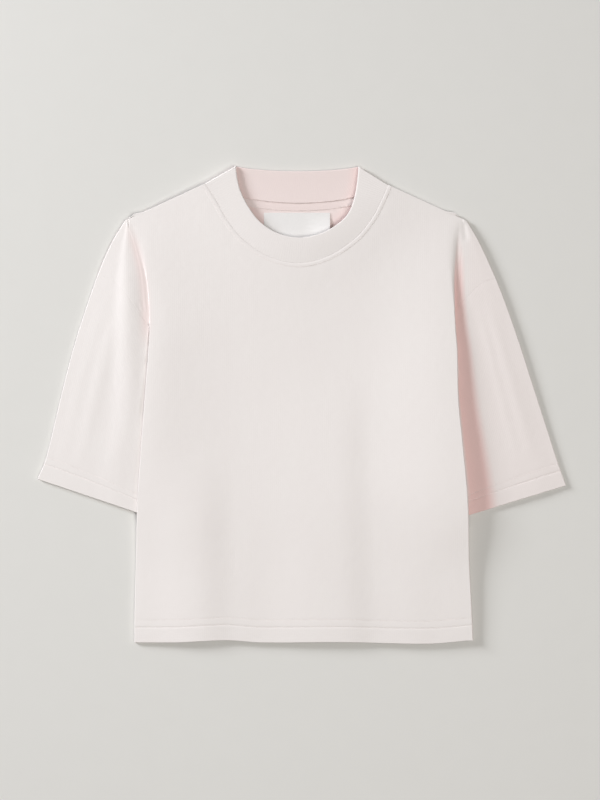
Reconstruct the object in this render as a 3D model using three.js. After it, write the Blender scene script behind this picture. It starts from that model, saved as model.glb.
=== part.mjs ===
// Cropped T-shirt laid flat on its back: dropped shoulders, elbow-length sleeves and a rib collar.
// Millimetres. +X is to the right seen from above, +Y runs from the hem to the neck, and +Z is up from
// the surface that it lies on. The origin is on that surface, under the middle of the outline.
// Left and right are as seen from above, so left is at -X.

import * as THREE from "three";

// A table's rows, as objects with its column names
const rowsOf = (names, rows) =>
  rows.map((row) => Object.fromEntries(names.split(" ").map((name, i) => [name, row[i]])));

// Cloth

const CLOTH = 1; // jersey of the front, back and sleeves
const HEM_CLOTH = 1.6; // the same, turned up and pressed at the hem and cuffs
const HEM_DEPTH = 27;
const RIB = 2.2; // collar rib, folded double
const TRIM = 1; // neck tape and label
const SEAM_GAP = 0.3; // left between two pieces that are sewn together
const SLEEVE_GAP = 0.45; // the same at an armhole, where the layers slope
const UNDERARM_GAP = 0.8; // and between the front's lip and the back at the underarm

// How the layers lie

const TUCKED = 3.6; // height of a sleeve where the body lies on it
const SHOULDER_SEAM = 1.7; // height of the front's edge where it meets the back's
const SHOULDER_ROLL = 4; // how far in the front's edge starts to round over
const SIDE_LIP = 25; // how far the front turns under the body at each side
const SIDE_ROLL = 8; // width of that turn
const OVER_SLEEVE = 1.4; // how much the front rises where a sleeve lies under it
const OVER_SPREAD = 60; // and how far past the sleeve that rise fades out
const BACK_HEM = 2.5; // how far the back's hem stays behind the front's

// Sections across the body, from the hem up. left and right are its rolled sides. leftTop, middleTop and
// rightTop are how high the front lies there, and leftReach and rightReach are how far in a side stays high.
const BODY = rowsOf("y left right leftTop middleTop rightTop leftReach rightReach", [
  [-286, -201, 205.5, 5.4, 4.7, 5.6, 60, 45],
  [-234, -200.5, 203, 6.6, 5, 9, 60, 60],
  [-186, -199, 200.5, 7.2, 5.2, 12, 60, 75],
  [-114, -197, 198.5, 7.6, 5.3, 13, 52, 75],
  [-42, -192, 192, 7.8, 5.3, 12.6, 44, 70],
  [6, -188.5, 187.5, 8, 5.3, 11.4, 38, 60],
  [66, -184, 186, 8.2, 5.5, 10.2, 32, 50],
  [102, -182.5, 183.5, 8.2, 5.7, 9.6, 30, 44],
  [150, -186, 182.5, 7.8, 6, 8.6, 30, 40],
  [192, -195.5, 185, 6.6, 6, 7, 30, 36],
  [224, -206.5, 188.5, 5.3, 6, 5.5, 30, 34],
]);

// Sections across a sleeve and the dropped shoulder above it. left and right are the outer edge of each. On
// either side, Floor is the height beside the body, Crest the sleeve's middle and Rim its outer edge.
const ARM = rowsOf("y left right leftFloor leftCrest leftRim rightFloor rightCrest rightRim", [
  [-97, -319, 317, 4, 4.6, 4, 3.6, 4.4, 4.2],
  [-88.5, -316.8, 314, 4.1, 4.9, 4.1, 3.6, 4.6, 4.3],
  [-66, -307.5, 306, 4.4, 6.2, 4.2, 3.6, 5.2, 4.6],
  [-18, -295.5, 290.5, 4.8, 7.8, 4.5, 3.6, 6, 5],
  [30, -284, 275, 5, 8.6, 4.8, 3.6, 6.4, 5.3],
  [78, -271, 259.5, 5, 8.8, 4.9, 3.6, 6.6, 5.5],
  [126, -255.5, 242.5, 4.8, 8.4, 5, 3.6, 6.6, 5.5],
  [150, -247, 233, 4.6, 7.8, 5, 3.8, 6.5, 5.4],
  [174, -237.5, 222.5, 4.6, 7, 5, 4.2, 6.2, 5.3],
  [198, -226, 211, 4.8, 6, 5, 4.7, 5.7, 5.1],
  [221, -212, 197.5, 5.2, 5.3, 5, 5.2, 5.3, 5],
]);
const DITCH_WIDTH = 7; // of the narrow dip right beside the body, where a sleeve passes under it

// Soft folds of the front. Each rises over before, to its crest at x, and falls over after. leans moves
// it right for each millimetre up, and it fades out over fade beyond low and high.
const FOLDS = rowsOf("x leans before after height low high fade", [
  [-114, -0.02, 62, 34, 1.7, -260, -150, 110],
  [50, -0.03, 120, 40, 1.9, -270, -60, 120],
  [150, 0.02, 40, 30, -0.8, -280, -262, 60],
  [-40, 0.05, 40, 50, -0.5, -280, -200, 90],
]);

// Hem edge of the front, from left to right
const HEM = rowsOf("x y", [
  [-202, -284.4],
  [-150, -284],
  [-92, -281.4],
  [-50, -284.2],
  [45, -283.6],
  [150, -285.6],
  [206, -281],
]);

// Neck seam of the front, from the left shoulder to the right one, with the collar's free edge beside it
const FRONT_NECK = rowsOf("x y freeX freeY", [
  [-116.4, 265.2, -79.4, 286.4],
  [-103.8, 246, -75.5, 262],
  [-90, 222, -66, 240.5],
  [-70.4, 198, -51, 220],
  [-41, 178.2, -30, 206.2],
  [-6, 169.8, -5, 200.4],
  [29, 177.2, 20, 204.6],
  [62, 198, 41, 215.4],
  [82.8, 222, 56, 230.5],
  [95.4, 246, 64.2, 254.5],
  [103.2, 264, 68, 286],
]);
const BACK_SEAM_DIP = 22.5;
const BACK_FREE_DIP = 6;
const COLLAR_SEAM_TOP = 7.2; // height of the front neck seam
const COLLAR_FREE_TOP = 8.8; // height of the collar's free edge in front
const COLLAR_SIDE_TOP = 7; // and where it nears the shoulders
const COLLAR_FREE_LIFT = 1.2; // how far that edge lifts off the surface behind
const COLLAR_ROLL = 6; // how far from a shoulder the collar starts to turn over
const NECK_RISE = 30; // how far out the front rises towards the neck seam
const SEAM_RIDGE = 0.5; // the seam allowances under the topstitching
const SEAM_RIDGE_WIDTH = 6;

// Each side's own points: the shoulder's corner, the top of the body's side, the armhole seam from its
// outer end to the body's side and on under the body, and the cuff's outer, body-side and hidden points.
const FOLD_POINT = 4; // the point of the armhole seam at the body's side
const SIDES = {
  left: {
    inward: 1,
    corner: [-212, 221],
    foldTop: [-206.5, 224],
    armhole: [
      [-246, 153.5], [-229, 151.5], [-212.5, 136], [-198, 115],
      [-183, 92.4], [-184.2, 76], [-166, 60], [-146, 46],
    ],
    cuff: [[-316.8, -88.5], [-198, -128.4], [-164, -140]],
  },
  right: {
    inward: -1,
    corner: [197.5, 221],
    foldTop: [188.5, 224],
    armhole: [
      [232.5, 151.5], [216, 146.5], [199, 131], [190, 121],
      [183.4, 112.8], [185, 97], [168, 80], [148, 66],
    ],
    cuff: [[316.8, -96], [200.5, -131.4], [166, -142]],
  },
};
const TUCK = 43; // how far under the body it lies on a sleeve
const TUCK_CLEAR = 4; // how far it lies so beyond a sleeve's ends
const TUCK_RAMP = 14; // how far it then takes to come down to the surface

// Label, and the tape that covers the back neck seam
const LABEL = { width: 79, height: 46, x: -6, top: 230.5 };
const TAPE = { width: 9, below: 0.8, ends: [0.13, 0.87] };

const { clamp, lerp, smoothstep } = THREE.MathUtils;

// The value of a table's column where its key is at, on a smooth curve through the rows
function along(table, column, at, key = "y") {
  let row = 0;
  while (row < table.length - 2 && at > table[row + 1][key]) row += 1;
  const slope = (i) => {
    const before = table[Math.max(i - 1, 0)];
    const after = table[Math.min(i + 1, table.length - 1)];
    return (after[column] - before[column]) / (after[key] - before[key]);
  };
  const [a, b] = [table[row], table[row + 1]];
  const span = b[key] - a[key];
  const t = clamp((at - a[key]) / span, 0, 1);
  const ends = lerp(a[column], b[column], t * t * (3 - 2 * t));
  return ends + span * t * (1 - t) * (slope(row) * (1 - t) - slope(row + 1) * t);
}

// Plan points and curves, seen from above

const plan = (x, y) => new THREE.Vector2(x, y);
const planCurve = (points) => new THREE.SplineCurve(points.map(([x, y]) => plan(x, y)));

function distanceTo(chain, x, y) {
  let nearest = Infinity;
  for (let i = 0; i + 1 < chain.length; i += 1) {
    const [a, b] = [chain[i], chain[i + 1]];
    const [dx, dy] = [b.x - a.x, b.y - a.y];
    const t = clamp(((x - a.x) * dx + (y - a.y) * dy) / (dx * dx + dy * dy), 0, 1);
    nearest = Math.min(nearest, Math.hypot(x - a.x - t * dx, y - a.y - t * dy));
  }
  return nearest;
}

// The patch between four plan curves: first and last are crossed by start and end.
function patch(first, last, start, end) {
  const corners = [first(0), first(1), last(0), last(1)];
  return (s, t) => {
    const across = first(t).clone().lerp(last(t), s);
    const onward = start(s).clone().lerp(end(s), t);
    const flat = corners[0].clone().lerp(corners[1], t).lerp(corners[2].clone().lerp(corners[3], t), s);
    return across.add(onward).sub(flat);
  };
}

const straight = (from, to) => (t) => from.clone().lerp(to, t);
const bodySide = (side, y) => plan(along(BODY, side, y), y);
const armEdge = (side, y) => plan(along(ARM, side, y), y);

const frontSeam = planCurve(FRONT_NECK.map(({ x, y }) => [x, y]));
const frontFree = planCurve(FRONT_NECK.map(({ freeX, freeY }) => [freeX, freeY]));
const frontSeamAt = (t) => frontSeam.getPoint(t);
const frontSeamChain = frontSeam.getPoints(60);

// The back neck seam and the collar's free edge behind, which run straight across with a dip
function dipped(curve, dip) {
  const [from, to] = [curve.getPoint(0), curve.getPoint(1)];
  return (t) => from.clone().lerp(to, t).sub(plan(0, dip * (1 - (2 * t - 1) ** 2) ** 0.8));
}
const backSeam = dipped(frontSeam, BACK_SEAM_DIP);
const backFree = dipped(frontFree, BACK_FREE_DIP);

// The armhole seam in two lengths: from its outer end to the body's side, and on under the body
const armholes = {};
const tuckedArmholes = {};
const shoulderChains = {};
for (const [side, { armhole, corner }] of Object.entries(SIDES)) {
  armholes[side] = planCurve(armhole.slice(0, FOLD_POINT + 1));
  tuckedArmholes[side] = planCurve(armhole.slice(FOLD_POINT));
  const down = ARM.filter(({ y }) => y < corner[1] && y > armhole[0][1]).map(({ y }) => armEdge(side, y));
  const neck = frontSeam.getPoint(side === "left" ? 0 : 1);
  shoulderChains[side] = [neck, plan(...corner), ...down.reverse(), plan(...armhole[0])];
}
const underarm = (side) => SIDES[side].armhole[FOLD_POINT][1];
const hemEdge = (x) => along(HEM, "y", x, "x");

// Heights

// Rises from 0 to 1 as a quarter circle does
const roundOver = (share) => Math.sqrt(1 - (1 - clamp(share, 0, 1)) ** 2);

// How far a point lies in from the body's side, negative on the sleeve
const inside = (side, x, y) => SIDES[side].inward * (x - along(BODY, side, y));

// The y between which the body lies fully on a sleeve
function tuckedSpan(side, inward) {
  const { armhole, cuff } = SIDES[side];
  const bottom = lerp(cuff[1][1], cuff[2][1], clamp(inward / TUCK, 0, 1)) - TUCK_CLEAR;
  return { bottom, top: armhole[FOLD_POINT + 1][1] + TUCK_CLEAR };
}

// 1 where a sleeve lies under the body, 0 where the body lies on the surface. spread softens the step.
function overSleeve(x, y, spread = 0) {
  const over = ["left", "right"].map((side) => {
    const inward = inside(side, x, y);
    const { bottom, top } = tuckedSpan(side, inward);
    const below = smoothstep(y, bottom - TUCK_RAMP - spread, bottom);
    const above = smoothstep(y, top - spread / 4, underarm(side) + spread);
    return below * (1 - above) * (1 - smoothstep(inward, TUCK - spread / 2, TUCK + TUCK_RAMP + spread));
  });
  return Math.max(...over);
}

const underside = (x, y) => overSleeve(x, y) * (TUCKED + SEAM_GAP);

// Height of the front's upper face between its sides
function bodyTop(x, y) {
  const middle = along(BODY, "middleTop", y);
  let z = middle + OVER_SLEEVE * overSleeve(x, y, OVER_SPREAD);
  for (const side of ["left", "right"]) {
    const rise = along(BODY, side + "Top", y) - middle;
    z += rise * Math.exp(-((inside(side, x, y) / along(BODY, side + "Reach", y)) ** 2));
  }
  for (const { x: crest, leans, before, after, height, low, high, fade } of FOLDS) {
    const across = x - crest - leans * (y - low);
    const reach = Math.min(Math.abs(across) / (across < 0 ? before : after), 1);
    const lengthwise = smoothstep(y, low - fade, low) * (1 - smoothstep(y, high, high + fade));
    z += height * lengthwise * Math.cos((reach * Math.PI) / 2) ** 2;
  }
  return lerp(z, COLLAR_SEAM_TOP, Math.exp(-((distanceTo(frontSeamChain, x, y) / NECK_RISE) ** 2)));
}

// Height of the upper face of a sleeve, or of the dropped shoulder above it
function armTop(side, x, y) {
  const fold = along(BODY, side, y);
  const out = clamp((x - fold) / (along(ARM, side, y) - fold), 0, 1);
  const [floor, crest, rim] = ["Floor", "Crest", "Rim"].map((column) => along(ARM, side + column, y));
  const ditch = (floor - TUCKED) * (1 - smoothstep(y, 150, 221));
  const z = lerp(lerp(floor, crest, smoothstep(out, 0, 0.5)), rim, smoothstep(out, 0.55, 1));
  return z - ditch * (1 - smoothstep(Math.abs(x - fold), 0, DITCH_WIDTH));
}

// The front with its edge rounded over along the shoulders, and a ridge beside the neck seam
function finished(x, y, z) {
  const away = Math.min(distanceTo(shoulderChains.left, x, y), distanceTo(shoulderChains.right, x, y));
  const ridge = distanceTo(frontSeamChain, x, y) / SEAM_RIDGE_WIDTH;
  const raised = SEAM_RIDGE * smoothstep(ridge, 0, 0.25) * (1 - smoothstep(ridge, 0.75, 1));
  return lerp(SHOULDER_SEAM, z + raised, roundOver(away / SHOULDER_ROLL));
}

// Walls of cloth

const hemCloth = (fromEdge) => lerp(HEM_CLOTH, CLOTH, smoothstep(fromEdge, HEM_DEPTH - 1, HEM_DEPTH + 2));

// One face of a piece of cloth, as points joined by triangles. wall() adds the other face and the edges.
class Sheet {
  points = [];
  offsets = [];
  faces = [];

  // inset moves the point itself into the cloth, which rounds an edge.
  add(x, y, z, thickness = CLOTH, inset = 0) {
    this.points.push(new THREE.Vector3(x, y, z));
    this.offsets.push([inset, inset + thickness]);
    return this.points.length - 1;
  }

  // Seen from this face's own side, a row runs to the right and the next one lies above it.
  join(rows) {
    for (let j = 0; j + 1 < rows.length; j += 1) {
      for (let i = 0; i + 1 < rows[j].length; i += 1) {
        const [a, b, c, d] = [rows[j][i], rows[j][i + 1], rows[j + 1][i + 1], rows[j + 1][i]];
        this.faces.push([a, b, c], [a, c, d]);
      }
    }
  }

  normals() {
    const sums = this.points.map(() => new THREE.Vector3());
    for (const face of this.faces) {
      const [a, b, c] = face.map((i) => this.points[i]);
      const normal = b.clone().sub(a).cross(c.clone().sub(a));
      for (const i of face) sums[i].add(normal);
    }
    return sums.map((sum) => sum.normalize());
  }

  // The cloth lies below this face, or above it if this is its underside.
  wall(isUnderside = false) {
    const count = this.points.length;
    const away = isUnderside ? 1 : -1;
    const normals = this.normals();
    const shifted = (p, i, k) => p.clone().addScaledVector(normals[i], away * this.offsets[i][k]).toArray();
    const moved = [0, 1].flatMap((k) => this.points.flatMap((p, i) => shifted(p, i, k)));
    const faces = this.faces.flatMap(([a, b, c]) => [[a, b, c], [c + count, b + count, a + count]]);
    const edges = new Map();
    for (const [a, b, c] of this.faces) {
      for (const [from, to] of [[a, b], [b, c], [c, a]]) {
        if (!edges.delete(`${to},${from}`)) edges.set(`${from},${to}`, [from, to]);
      }
    }
    for (const [a, b] of edges.values()) faces.push([b, a, a + count], [b, a + count, b + count]);
    const geometry = new THREE.BufferGeometry();
    geometry.setAttribute("position", new THREE.Float32BufferAttribute(moved, 3));
    geometry.setIndex(faces.flatMap((face) => (isUnderside ? face.reverse() : face)));
    geometry.computeVertexNormals();
    return geometry;
  }
}

const root = new THREE.Group();
const JERSEY = { color: 0xf1e2df, roughness: 0.92, metalness: 0 };
const RIBBING = { color: 0xefdfdc, roughness: 0.94, metalness: 0 };
const LABEL_CLOTH = { color: 0xf2f1ef, roughness: 0.7, metalness: 0 };

function addPiece(name, geometry, look) {
  const mesh = new THREE.Mesh(geometry, new THREE.MeshStandardMaterial(look));
  mesh.name = name;
  root.add(mesh);
}

// Columns and rows of a body panel

// Shares along the neck seam, closer together at the shoulders where it rounds over
const NECK_SHARES = [
  0, 0.005, 0.018, 0.045, 0.1, 0.17, 0.25, 0.34, 0.43, 0.52,
  0.61, 0.7, 0.78, 0.85, 0.91, 0.96, 0.982, 0.995, 1,
];
const BACK_NECK_SHARES = [0, 0.018, 0.045, 0.1, 0.2, 0.32, 0.44, 0.56, 0.68, 0.8, 0.9, 0.955, 0.982, 1];
const NECK_INSET = 78; // of the first column that ends at the neck
const TOP_INSETS = [14, 8, 4.6, 2, 0.55, 0];
const steps = (from, to, count) => Array.from({ length: count }, (_, i) => lerp(from, to, (i + 1) / count));

// The y of each row in a column. Rows follow the hem, the cuffs and underarm below, and the top edge.
const UNDERARM_ROW = 20;
function rowHeights(low, { bottom, top, underarmY }, high) {
  return [
    low,
    low + HEM_DEPTH - 0.5,
    low + HEM_DEPTH + 2,
    ...steps(low + HEM_DEPTH + 2, bottom - TUCK_RAMP, 4),
    ...steps(bottom - TUCK_RAMP, bottom, 2),
    ...steps(bottom, top, 9),
    ...steps(top, underarmY, 3),
    ...steps(underarmY, high - TOP_INSETS[0], 5),
    ...TOP_INSETS.slice(1).map((inset) => high - inset),
  ];
}

// Columns between the sides of a body panel, up to its shoulders and neck. A column is a list of plan
// points, and its first one lies on the hem. insets are those of the columns beside each side, and gap
// is how far above the underarm the row there lies.
function panelColumns(insets, neckPoints, hemShift, gap) {
  // A column keeps its inset from the body's side up to the underarm, and then turns to its own end.
  const sideX = (side, inset, end, y) => {
    const turned = end.x - along(BODY, side, end.y);
    return along(BODY, side, y) + lerp(SIDES[side].inward * inset, turned, smoothstep(y, 150, end.y));
  };
  const marks = (side, inset) => ({
    ...tuckedSpan(side, inset - SIDE_ROLL / 2),
    underarmY: underarm(side) + gap,
  });
  const column = (end, xAt, rowMarks) => {
    const low = hemEdge(xAt(HEM[0].y)) + hemShift;
    return rowHeights(low, rowMarks, end.y).map((y) => plan(xAt(y), y));
  };
  const beside = (side, neck) => {
    const top = plan(...SIDES[side].foldTop);
    return insets.map((inset) => {
      const share = inset / NECK_INSET + (insets[0] / Math.abs(neck.x - top.x)) * (1 - inset / NECK_INSET);
      const end = top.clone().lerp(neck, share);
      return column(end, (y) => sideX(side, inset, end, y), marks(side, inset));
    });
  };
  const [left, right] = [marks("left", NECK_INSET), marks("right", NECK_INSET)];
  const [first, last] = [neckPoints[0], neckPoints.at(-1)];
  const neck = neckPoints.map((end) => {
    const across = (end.x - first.x) / (last.x - first.x);
    const level = (corner) => plan(corner.x, end.y);
    const leftX = (y) => sideX("left", NECK_INSET, level(first), y);
    const rightX = (y) => sideX("right", NECK_INSET, level(last), y);
    const rowMarks = {};
    for (const key of ["bottom", "top", "underarmY"]) rowMarks[key] = lerp(left[key], right[key], across);
    return column(end, (y) => lerp(leftX(y), rightX(y), across), rowMarks);
  });
  return [...beside("left", first), ...neck, ...beside("right", last).reverse()];
}

// Front

const ROLL_TURNS = [0, 30, 60, 90].map(THREE.MathUtils.degToRad);
const FLAT_ROLL = 1; // half the height of a roll that only slopes
const FULL_ROLL = 2.5; // and of one that is upright at its side

// A point of the roll at the body's side. turn is 0 at the side itself and a quarter turn on the body.
// Minus a quarter turn lies under the body, or on the sleeve's side of the roll above the underarm.
function sideRoll(side, y, turn, onArm) {
  const { inward } = SIDES[side];
  const fold = along(BODY, side, y);
  const top = bodyTop(fold + inward * SIDE_ROLL, y);
  const bottom = onArm ? Math.min(armTop(side, fold - inward * SIDE_ROLL, y), top) : underside(fold, y);
  const half = (top - bottom) / 2;
  const upright = onArm ? smoothstep(half, FLAT_ROLL, FULL_ROLL) : 1;
  const out = SIDE_ROLL * lerp(Math.abs(turn) / (Math.PI / 2), 1 - Math.cos(turn), upright);
  const towards = onArm && turn < 0 ? -inward : inward;
  return { x: fold + towards * out, z: bottom + half * (1 + Math.sin(turn)) };
}

// Shares along the visible armhole seam, which every piece sewn there has its points at
const FREE_STEPS = 5;
function armholeShares(side) {
  const length = armholes[side].getLength();
  const outer = [0, 0.55, 2, SHOULDER_ROLL].map((inset) => inset / length);
  const inner = ROLL_TURNS.slice(1, -1).map((turn) => 1 - (SIDE_ROLL * (1 - Math.cos(turn))) / length);
  return [...outer, ...steps(outer.at(-1), 1 - SIDE_ROLL / length, FREE_STEPS), ...inner.reverse(), 1];
}

function makeFront() {
  const sheet = new Sheet();
  const put = (x, y, z) => sheet.add(x, y, finished(x, y, z), hemCloth(y - hemEdge(x)));
  const middle = panelColumns([SIDE_ROLL, 20, 38, 57], NECK_SHARES.map(frontSeamAt), 0, 0);
  const columns = middle.map((column) => column.map(({ x, y }) => put(x, y, bodyTop(x, y))));

  for (const side of ["left", "right"]) {
    const { inward, corner, foldTop, armhole } = SIDES[side];
    const ordered = (row) => (side === "left" ? row.reverse() : row);

    // The roll up the side, from the body's edge column out to the side itself
    const inner = side === "left" ? middle[0] : middle.at(-1);
    const roll = ROLL_TURNS.slice(0, -1).reverse().map((turn) =>
      inner.map(({ y }, j) => {
        const rise = j > UNDERARM_ROW ? (y - underarm(side)) / (inner.at(-1).y - underarm(side)) : 0;
        const rollY = y + rise * (foldTop[1] - inner.at(-1).y) * (1 - turn / (Math.PI / 2));
        const { x, z } = sideRoll(side, rollY, turn, j > UNDERARM_ROW);
        return put(x, rollY, z);
      }),
    );
    if (side === "left") columns.unshift(...roll.reverse());
    else columns.push(...roll);
    const edge = side === "left" ? columns[0] : columns.at(-1);

    // The lip that turns under the body, up to the underarm
    const lip = edge.slice(0, UNDERARM_ROW + 1).map((shared) => {
      const { y } = sheet.points[shared];
      const thickness = hemCloth(y - hemEdge(sheet.points[shared].x));
      const turned = ROLL_TURNS.slice(1).map((turn) => {
        const { x, z } = sideRoll(side, y, -turn, false);
        return sheet.add(x, y, z, thickness);
      });
      const flat = steps(SIDE_ROLL, SIDE_LIP, 2).map((inset) => {
        const x = along(BODY, side, y) + inward * inset;
        return sheet.add(x, y, underside(x, y), thickness);
      });
      return ordered([shared, ...turned, ...flat]);
    });
    sheet.join(lip);

    // The dropped shoulder, above the underarm
    const outerEnd = (s) => armEdge(side, lerp(armhole[0][1], corner[1], s));
    const seam = (t) => armholes[side].getPointAt(1 - t);
    const foldUp = (s) => bodySide(side, lerp(underarm(side), foldTop[1], s));
    const shoulderAt = patch(seam, straight(plan(...foldTop), plan(...corner)), foldUp, outerEnd);
    const seamShares = armholeShares(side).map((share) => 1 - share).reverse().slice(1);
    const shoulder = edge.slice(UNDERARM_ROW).map((shared, j) => {
      const start = sheet.points[shared];
      const s = (start.y - underarm(side)) / (foldTop[1] - underarm(side));
      const width = shoulderAt(s, 1).distanceTo(shoulderAt(s, 0));
      const squeeze = Math.min(1, width / 16) / width;
      const insets = [SHOULDER_ROLL, 2, 0.55, 0].map((inset) => 1 - inset * squeeze);
      const rolled = ROLL_TURNS.slice(1).map((turn) => sideRoll(side, start.y, -turn, true));
      const rolledShares = rolled.map(({ x }) => Math.abs(x - start.x) * squeeze);
      const free = steps(rolledShares.at(-1), insets[0], FREE_STEPS);
      const shares = j === 0 ? seamShares : [...rolledShares, ...free, ...insets.slice(1)];
      const out = shares.map((t, i) => {
        const { x, y } = shoulderAt(s, t);
        return put(x, y, rolled[i]?.z ?? armTop(side, x, y));
      });
      return ordered([shared, ...out]);
    });
    sheet.join(shoulder);
  }
  sheet.join(columns[0].map((_, j) => columns.map((column) => column[j])));
  return sheet.wall();
}

addPiece("front", makeFront(), JERSEY);

// Back, under the front's lips over each sleeve and flat on the surface everywhere else

function makeBack() {
  const sheet = new Sheet();
  const inset = SIDE_LIP + SEAM_GAP;
  const put = ({ x, y }) => sheet.add(x, y, underside(x, y), hemCloth(y - hemEdge(x) - BACK_HEM));
  const neck = BACK_NECK_SHARES.map((t) => backSeam(t).sub(plan(0, SEAM_GAP)));
  const middle = panelColumns([inset, TUCK, TUCK + TUCK_RAMP], neck, BACK_HEM, UNDERARM_GAP);
  const columns = middle.map((column) => column.map(put));
  sheet.join(columns[0].map((_, j) => columns.map((column) => column[j])));

  for (const side of ["left", "right"]) {
    const { corner, armhole } = SIDES[side];
    const inner = (side === "left" ? middle[0] : middle.at(-1)).slice(UNDERARM_ROW);
    const shared = (side === "left" ? columns[0] : columns.at(-1)).slice(UNDERARM_ROW);
    const [start, top] = [inner[0], inner.at(-1)];
    const toFold = 0.25; // share of the bottom edge that lies under the body
    const fold = plan(along(BODY, side, start.y), start.y);
    const bottomEdge = (t) =>
      t < toFold ? start.clone().lerp(fold, t / toFold) : armholes[side].getPointAt((1 - t) / (1 - toFold));
    const columnUp = (s) => {
      const y = lerp(start.y, top.y, s);
      const above = inner.findIndex((point, j) => j > 0 && point.y >= y - 1e-9);
      const [a, b] = [inner[above - 1], inner[above]];
      return a.clone().lerp(b, (y - a.y) / (b.y - a.y));
    };
    const outerEnd = (s) => armEdge(side, lerp(armhole[0][1], corner[1], s));
    const shoulderAt = patch(bottomEdge, straight(top, plan(...corner)), columnUp, outerEnd);
    const outward = armholeShares(side).map((share) => 1 - (1 - toFold) * share).reverse();
    const rows = shared.map((index, j) => {
      const s = (inner[j].y - start.y) / (top.y - start.y);
      const out = [toFold / 2, ...outward].map((t) => put(shoulderAt(s, t)));
      return side === "left" ? [index, ...out].reverse() : [index, ...out];
    });
    sheet.join(rows);
  }
  return sheet.wall(true);
}

addPiece("back", makeBack(), JERSEY);

// Sleeves, each a tube pressed flat, from the armhole seam to the cuff

const SLEEVE_SHARES = [0, 0.07, 0.15, 0.24, 0.33, 0.42, 0.51, 0.6, 0.69, 0.78, 0.86];
const HIDDEN_INSETS = [3, 0.9, 0.25]; // of the points beside a sleeve's hidden edge
const TO_BODY = 0.62; // share of a sleeve's width that shows beside the body
const SLEEVE_EDGE = 1.5; // height of its outer edge
const UNDER_ROLL = 1.6; // how far in its underside starts to round up to that edge

function makeSleeve(side) {
  const { cuff, inward } = SIDES[side];
  const [outerCuff, , hiddenCuff] = cuff.map(([x, y]) => plan(x, y));
  const seam = (t) => {
    const shows = t < TO_BODY;
    const curve = shows ? armholes[side] : tuckedArmholes[side];
    const share = shows ? t / TO_BODY : (t - TO_BODY) / (1 - TO_BODY);
    const { x, y } = curve.getTangentAt(share);
    return curve.getPointAt(share).add(plan(y, -x).multiplyScalar(SLEEVE_GAP * inward));
  };
  const outerEdge = (s) => armEdge(side, lerp(seam(0).y, outerCuff.y, s));
  const planAt = patch(seam, straight(outerCuff, hiddenCuff), outerEdge, straight(seam(1), hiddenCuff));
  const length = outerEdge(0).distanceTo(outerEdge(1));
  const shown = armholeShares(side).map((share) => share * TO_BODY);
  const hidden = HIDDEN_INSETS.map((inset) => 1 - ((1 - TO_BODY) * inset) / tuckedArmholes[side].getLength());
  const across = [...shown, ...steps(TO_BODY, hidden[0], 3), ...hidden.slice(1), 1];
  const sheet = new Sheet();
  const hemShares = [HEM_DEPTH + 2, HEM_DEPTH - 0.5, 0].map((up) => 1 - up / length);
  const rings = [...SLEEVE_SHARES, ...hemShares].map((s) => {
    const width = planAt(s, 0).distanceTo(planAt(s, 1));
    const put = (t, above) => {
      const { x, y } = planAt(s, t);
      const top = inside(side, x, y) > 0 ? TUCKED : armTop(side, x, y);
      const outer = roundOver((t * width) / (above ? SHOULDER_ROLL : UNDER_ROLL));
      const tucked = roundOver(((1 - t) * width) / (TUCKED / 2));
      const edge = t < 0.5 ? SLEEVE_EDGE : TUCKED / 2;
      const z = lerp(edge, above ? top : 0, Math.min(outer, tucked));
      return sheet.add(x, y, z, hemCloth((1 - s) * length));
    };
    const upper = across.map((t) => put(t, true));
    const lower = across.slice(1, -1).reverse().map((t) => put(t, false));
    return [...upper, ...lower, upper[0]];
  });
  sheet.join(side === "left" ? rings.reverse() : rings);
  return sheet.wall();
}

addPiece("sleeve_left", makeSleeve("left"), JERSEY);
addPiece("sleeve_right", makeSleeve("right"), JERSEY);

// Collar, a closed band from the neck seam to its free edge, folded flat at the shoulders

const COLLAR_SHARES = [0, 0.25, 0.5, 0.75, 0.9, 0.97, 1];
const COLLAR_EDGE_INSET = { 0.97: 0.2, 1: 0.75 };

// A point of a seam, moved off it by the gap towards the collar
function besideSeam(seam, t) {
  const step = seam(Math.min(t + 1e-3, 1)).clone().sub(seam(Math.max(t - 1e-3, 0)));
  return seam(t).clone().add(plan(-step.y, step.x).setLength(SEAM_GAP));
}

function makeCollar() {
  const sheet = new Sheet();
  const ends = [0, 1].map((t) => ({ seam: besideSeam(frontSeamAt, t), free: frontFree.getPoint(t) }));
  const rows = COLLAR_SHARES.map((up) => {
    const inset = COLLAR_EDGE_INSET[up] ?? 0;
    const fold = lerp(COLLAR_SEAM_TOP, COLLAR_FREE_TOP, up) / 2;
    const corners = ends.map(({ seam, free }) => seam.clone().lerp(free, up));
    const put = (seam, free, level) => {
      const at = seam.clone().lerp(free, up);
      const away = Math.min(...corners.map((corner) => corner.distanceTo(at)));
      return sheet.add(at.x, at.y, lerp(fold, level, roundOver(away / COLLAR_ROLL)), RIB - 2 * inset, inset);
    };
    const front = NECK_SHARES.map((t) => {
      const freeTop = lerp(COLLAR_SIDE_TOP, COLLAR_FREE_TOP, Math.sin(t * Math.PI));
      const top = lerp(COLLAR_SEAM_TOP, freeTop, Math.sin((up * Math.PI) / 2));
      return put(besideSeam(frontSeamAt, t), frontFree.getPoint(t), top);
    });
    const behind = BACK_NECK_SHARES.slice(1, -1).reverse();
    const back = behind.map((t) => put(besideSeam(backSeam, t), backFree(t), COLLAR_FREE_LIFT * up ** 2));
    return [...front, ...back, front[0]];
  });
  sheet.join(rows);
  return sheet.wall();
}

addPiece("collar", makeCollar(), RIBBING);

// Neck tape and label, on the back's inner face

const ON_BACK = CLOTH + SEAM_GAP;

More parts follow.
